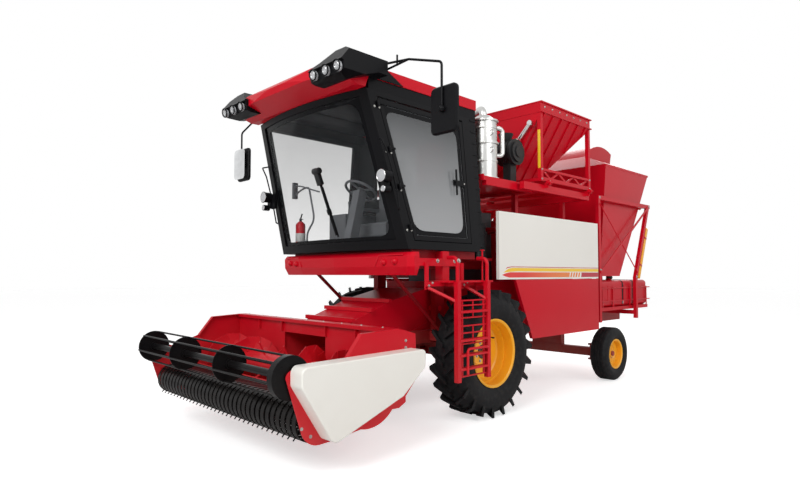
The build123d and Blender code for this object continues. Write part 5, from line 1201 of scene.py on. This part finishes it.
@dataclass
class TankFittings:
    """Two black straps over the fuel tank with their tightening bolts, and its black cap."""

    middle: tuple[float, float] = (0.802, 1.25)
    straps: tuple[float, ...] = (2.68, 3.06)
    half: float = 0.019
    thick: float = 0.004
    neck: Point = (0.876, 2.50, 1.486)
    arc_deg: tuple[float, float] = (-40.0, 260.0)
    steps: int = 40
    bolt_foot: tuple[float, float] = (1.006, 1.085)

    def strap(self, bench: Bench, y: float) -> bpy.types.Object:
        """Lay one strap from the tank's foot over its top to its other foot."""
        outside = []
        start, sweep = self.arc_deg
        for step in range(self.steps + 1):
            angle = math.radians(start + sweep * step / self.steps)
            way = Vector((math.cos(angle), 0.0, math.sin(angle)))
            centre = Vector((self.middle[0], y, self.middle[1]))
            place, _ = bench.touch(centre + way * 1.2, -way, "fuel_tank")
            outside.append((place, way))
        mesh = bpy.data.meshes.new("strap")
        work = bmesh.new()
        foot, top, half = 0.0005, self.thick, self.half
        section = ((foot, -half), (top, -half), (top, half), (foot, half))
        rows = []
        for place, way in outside:
            spots = [place + way * lift + Vector((0.0, shift, 0.0)) for lift, shift in section]
            rows.append([work.verts.new(spot) for spot in spots])
        for row, after in zip(rows, rows[1:]):
            for index in range(4):
                turn = (index + 1) % 4
                work.faces.new((row[index], row[turn], after[turn], after[index]))
        work.faces.new(rows[0])
        work.faces.new(list(reversed(rows[-1])))
        work.to_mesh(mesh)
        work.free()
        return bench.link(mesh)

    def build(self, bench: Bench) -> None:
        """Fit straps, bolts and cap."""
        straps = [self.strap(bench, y) for y in self.straps]
        bench.seat(straps, "tank_straps", "black_satin", Slot.BLACK)
        bolts = []
        rise = Vector(UP)
        for y in self.straps:
            foot = Vector((self.bolt_foot[0], y, self.bolt_foot[1]))
            bolts.append(bench.drum(foot, foot + rise * 0.055, 0.006, 0.006, 12))
            bolts.append(bench.drum(foot + rise * 0.040, foot + rise * 0.052, 0.012, 0.012, 6))
        bench.seat(bolts, "tank_strap_bolts", "zinc_bolt", Slot.STEEL)
        x, y, z = self.neck
        lean = Vector((0.30, 0.0, 1.0)).normalized()
        foot = Vector((x, y, z)) - lean * 0.006
        cap = bench.drum(foot, foot + lean * 0.032, 0.050, 0.048, 24)
        grip = bench.drum(foot + lean * 0.030, foot + lean * 0.046, 0.040, 0.034, 24)
        bench.seat([cap, grip], "tank_cap", "plastic_black", Slot.PLASTIC, 0.003)


@dataclass
class MirrorGlass:
    """Silvered glass of the two outside mirrors."""

    half_width: float = 0.132
    half_height: float = 0.190
    centre: tuple[float, float] = (1.713, 2.9425)

    def pane(self, bench: Bench, side: int, way: int) -> bpy.types.Object:
        """Lay one pane on the face of a mirror that looks along way."""
        start = (side * self.centre[0], way * 5.0, self.centre[1])
        face, _ = bench.touch(start, (0.0, -way, 0.0), "mirrors")
        wide, high = self.half_width, self.half_height
        flat = [(-wide, -high), (wide, -high), (wide, high), (-wide, high)]
        outline = [(start[0] + point.x, face.y - way * 0.001, start[2] + point.y)
                   for point in rounded(flat, 0.06, 6, 1)]
        return bench.prism(outline, (0.0, way * 0.0025, 0.0))

    def build(self, bench: Bench) -> None:
        """Fit the near mirror's glass to the rear and the far mirror's to the front."""
        for side, name in ((1, "mirror_glass_left"), (-1, "mirror_glass_right")):
            bench.seat([self.pane(bench, side, side)], name, "mirror_silver", Slot.STEEL)


@dataclass
class HeaderBolts:
    """Bolts on the header's end plates and on the corner above the drive cover."""

    size: float = 0.013
    beam_size: float = 0.010
    beam: tuple[float, float] = (-1.16, -2.47)
    pitch: float = 0.29

    def build(self, bench: Bench) -> None:
        """Set the bolts on both ends and along the top beam."""
        _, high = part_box("header_frame")
        corners = ((-3.44, 0.40), (-3.36, 0.33), (-2.36, 0.96), (-2.36, 0.90))
        nodes = ("header_frame", "header_cover")
        ends = [bench.beside(side, y, z, *nodes) for side in SIDES for y, z in corners]
        beam = []
        for step in range(9):
            start = (self.beam[0] + step * self.pitch, self.beam[1], high[2] + 1.0)
            beam.append(bench.touch(start, (0.0, 0.0, -1.0), "header_frame"))
        bench.bolts(self.size, ends, "header_end_bolts", "header")
        bench.bolts(self.beam_size, beam, "header_beam_bolts", "header")


@dataclass
class Studio:
    """Pale floor, soft lights and the camera at the photograph's viewpoint."""

    camera_at: Point = (4.856, -5.851, 1.541)
    heading_deg: float = 45.8
    pitch_deg: float = 2.44
    focal_px: float = 564.0
    image_px: float = 800.0
    floor_half: float = 60.0
    floor_glow: float = 0.55
    sky: float = 0.40
    lamps: tuple[tuple[str, Point, Point, float, float], ...] = (
        ("key_lamp", (3.5, -10.0, 7.5), (0.0, -0.5, 1.2), 5.0, 640.0),
        ("side_lamp", (9.5, -1.0, 6.0), (0.0, 0.5, 1.2), 5.0, 260.0),
        ("rear_lamp", (-3.0, 9.5, 7.0), (0.0, 1.0, 1.5), 6.0, 260.0),
    )

    def seen(self, graph: Graph) -> Socket:
        """Add up the rays that show the backdrop: camera, mirror and through glass."""
        total, *others = [graph.node("ShaderNodeLightPath", {}, {}, f"Is {kind} Ray")
                          for kind in ("Camera", "Glossy", "Transmission")]
        for ray in others:
            total = graph.node("ShaderNodeMath", {"operation": "ADD", "use_clamp": True}, {0: total, 1: ray})
        return total

    def floor(self) -> None:
        """Lay a pale floor that shows white to the camera and keeps the shadow."""
        bpy.ops.mesh.primitive_plane_add(size=2.0 * self.floor_half, location=(0.0, 0.0, -0.002))
        floor = bpy.context.object
        floor.name = "studio_floor"
        shader = Shader("floor_pale")
        grain = shader.noise(2.0, 2.0)
        shader.set(Base_Color=shader.mix(grain, (0.86, 0.86, 0.86), (0.9, 0.9, 0.9)), Roughness=0.7)
        surface = Socket(shader, shader.body.outputs[0])
        glow = shader.node("ShaderNodeEmission", {}, {"Strength": self.floor_glow})
        lit = shader.node("ShaderNodeAddShader", {}, {0: surface, 1: glow})
        camera_ray = shader.node("ShaderNodeLightPath", {}, {}, "Is Camera Ray")
        pick = shader.node("ShaderNodeMixShader", {}, {0: camera_ray, 1: surface, 2: lit})
        shader.feed(shader.out.inputs[0], pick)
        floor.data.materials.append(shader.material)

    def world(self) -> None:
        """Set an even sky that reads white behind the machine."""
        world = bpy.data.worlds.new("studio_world")
        bpy.context.scene.world = world
        world.use_nodes = True
        graph = Graph(world.node_tree)
        light = graph.node("ShaderNodeBackground", {}, {0: WHITE, 1: self.sky})
        white = graph.node("ShaderNodeBackground", {}, {0: WHITE, 1: 1.0})
        pick = graph.node("ShaderNodeMixShader", {}, {0: self.seen(graph), 1: light, 2: white})
        out = graph.tree.nodes.new("ShaderNodeOutputWorld")
        graph.feed(out.inputs[0], pick)

    def lamp(self, name: str, at: Point, aim: Point, size: float, power: float) -> None:
        """Hang one soft area lamp.

        Args:
            name: Lamp name.
            at: Its place.
            aim: Point it faces.
            size: Side of the square lamp.
            power: Watts.
        """
        data = bpy.data.lights.new(name, "AREA")
        data.size = size
        data.energy = power
        lamp = bpy.data.objects.new(name, data)
        bpy.context.scene.collection.objects.link(lamp)
        lamp.location = at
        lamp.rotation_euler = (Vector(aim) - Vector(at)).to_track_quat("-Z", "Y").to_euler()

    def camera(self) -> None:
        """Stand the camera where the photograph was taken."""
        data = bpy.data.cameras.new("photo_camera")
        data.sensor_width = 36.0
        data.lens = 36.0 * self.focal_px / self.image_px
        camera = bpy.data.objects.new("photo_camera", data)
        bpy.context.scene.collection.objects.link(camera)
        heading = math.radians(self.heading_deg)
        pitch = math.radians(self.pitch_deg)
        level = math.cos(pitch)
        look = Vector((-math.sin(heading) * level, math.cos(heading) * level, math.sin(pitch)))
        camera.location = self.camera_at
        camera.rotation_euler = look.to_track_quat("-Z", "Y").to_euler()
        bpy.context.scene.camera = camera

    def build(self) -> None:
        """Set the whole studio."""
        bpy.context.scene.view_settings.view_transform = "Standard"
        self.floor()
        self.world()
        for lamp in self.lamps:
            self.lamp(*lamp)
        self.camera()
        LOG.info("studio set")


def write_sizes() -> None:
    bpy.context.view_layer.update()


def main() -> None:
    """Build the studio, finishes and dressing in order."""
    logging.basicConfig(level=logging.INFO, format="%(message)s")
    bpy.ops.object.select_all(action="DESELECT")
    Studio().build()
    finishes = Finishes()
    finishes.build()
    for name, nodes in NODE_FINISHES.items():
        finishes.dress(name, *nodes)
    bench = Bench(finishes)
    for assembly in (
        SideStripes(), GlassBorders(), Wiper(), CabInside(), DoorFittings(), PillarLamps(),
        RoofLampRims(), FrontHubs(), RearHubs(), LadderBolts(), ExhaustFittings(), FilterClamps(),
        PodBinTrim(), VineBinTrim(), TankFittings(), MirrorGlass(), HeaderBolts(),
    ):
        assembly.build(bench)
    write_sizes()


if __name__ == "__main__":
    main()
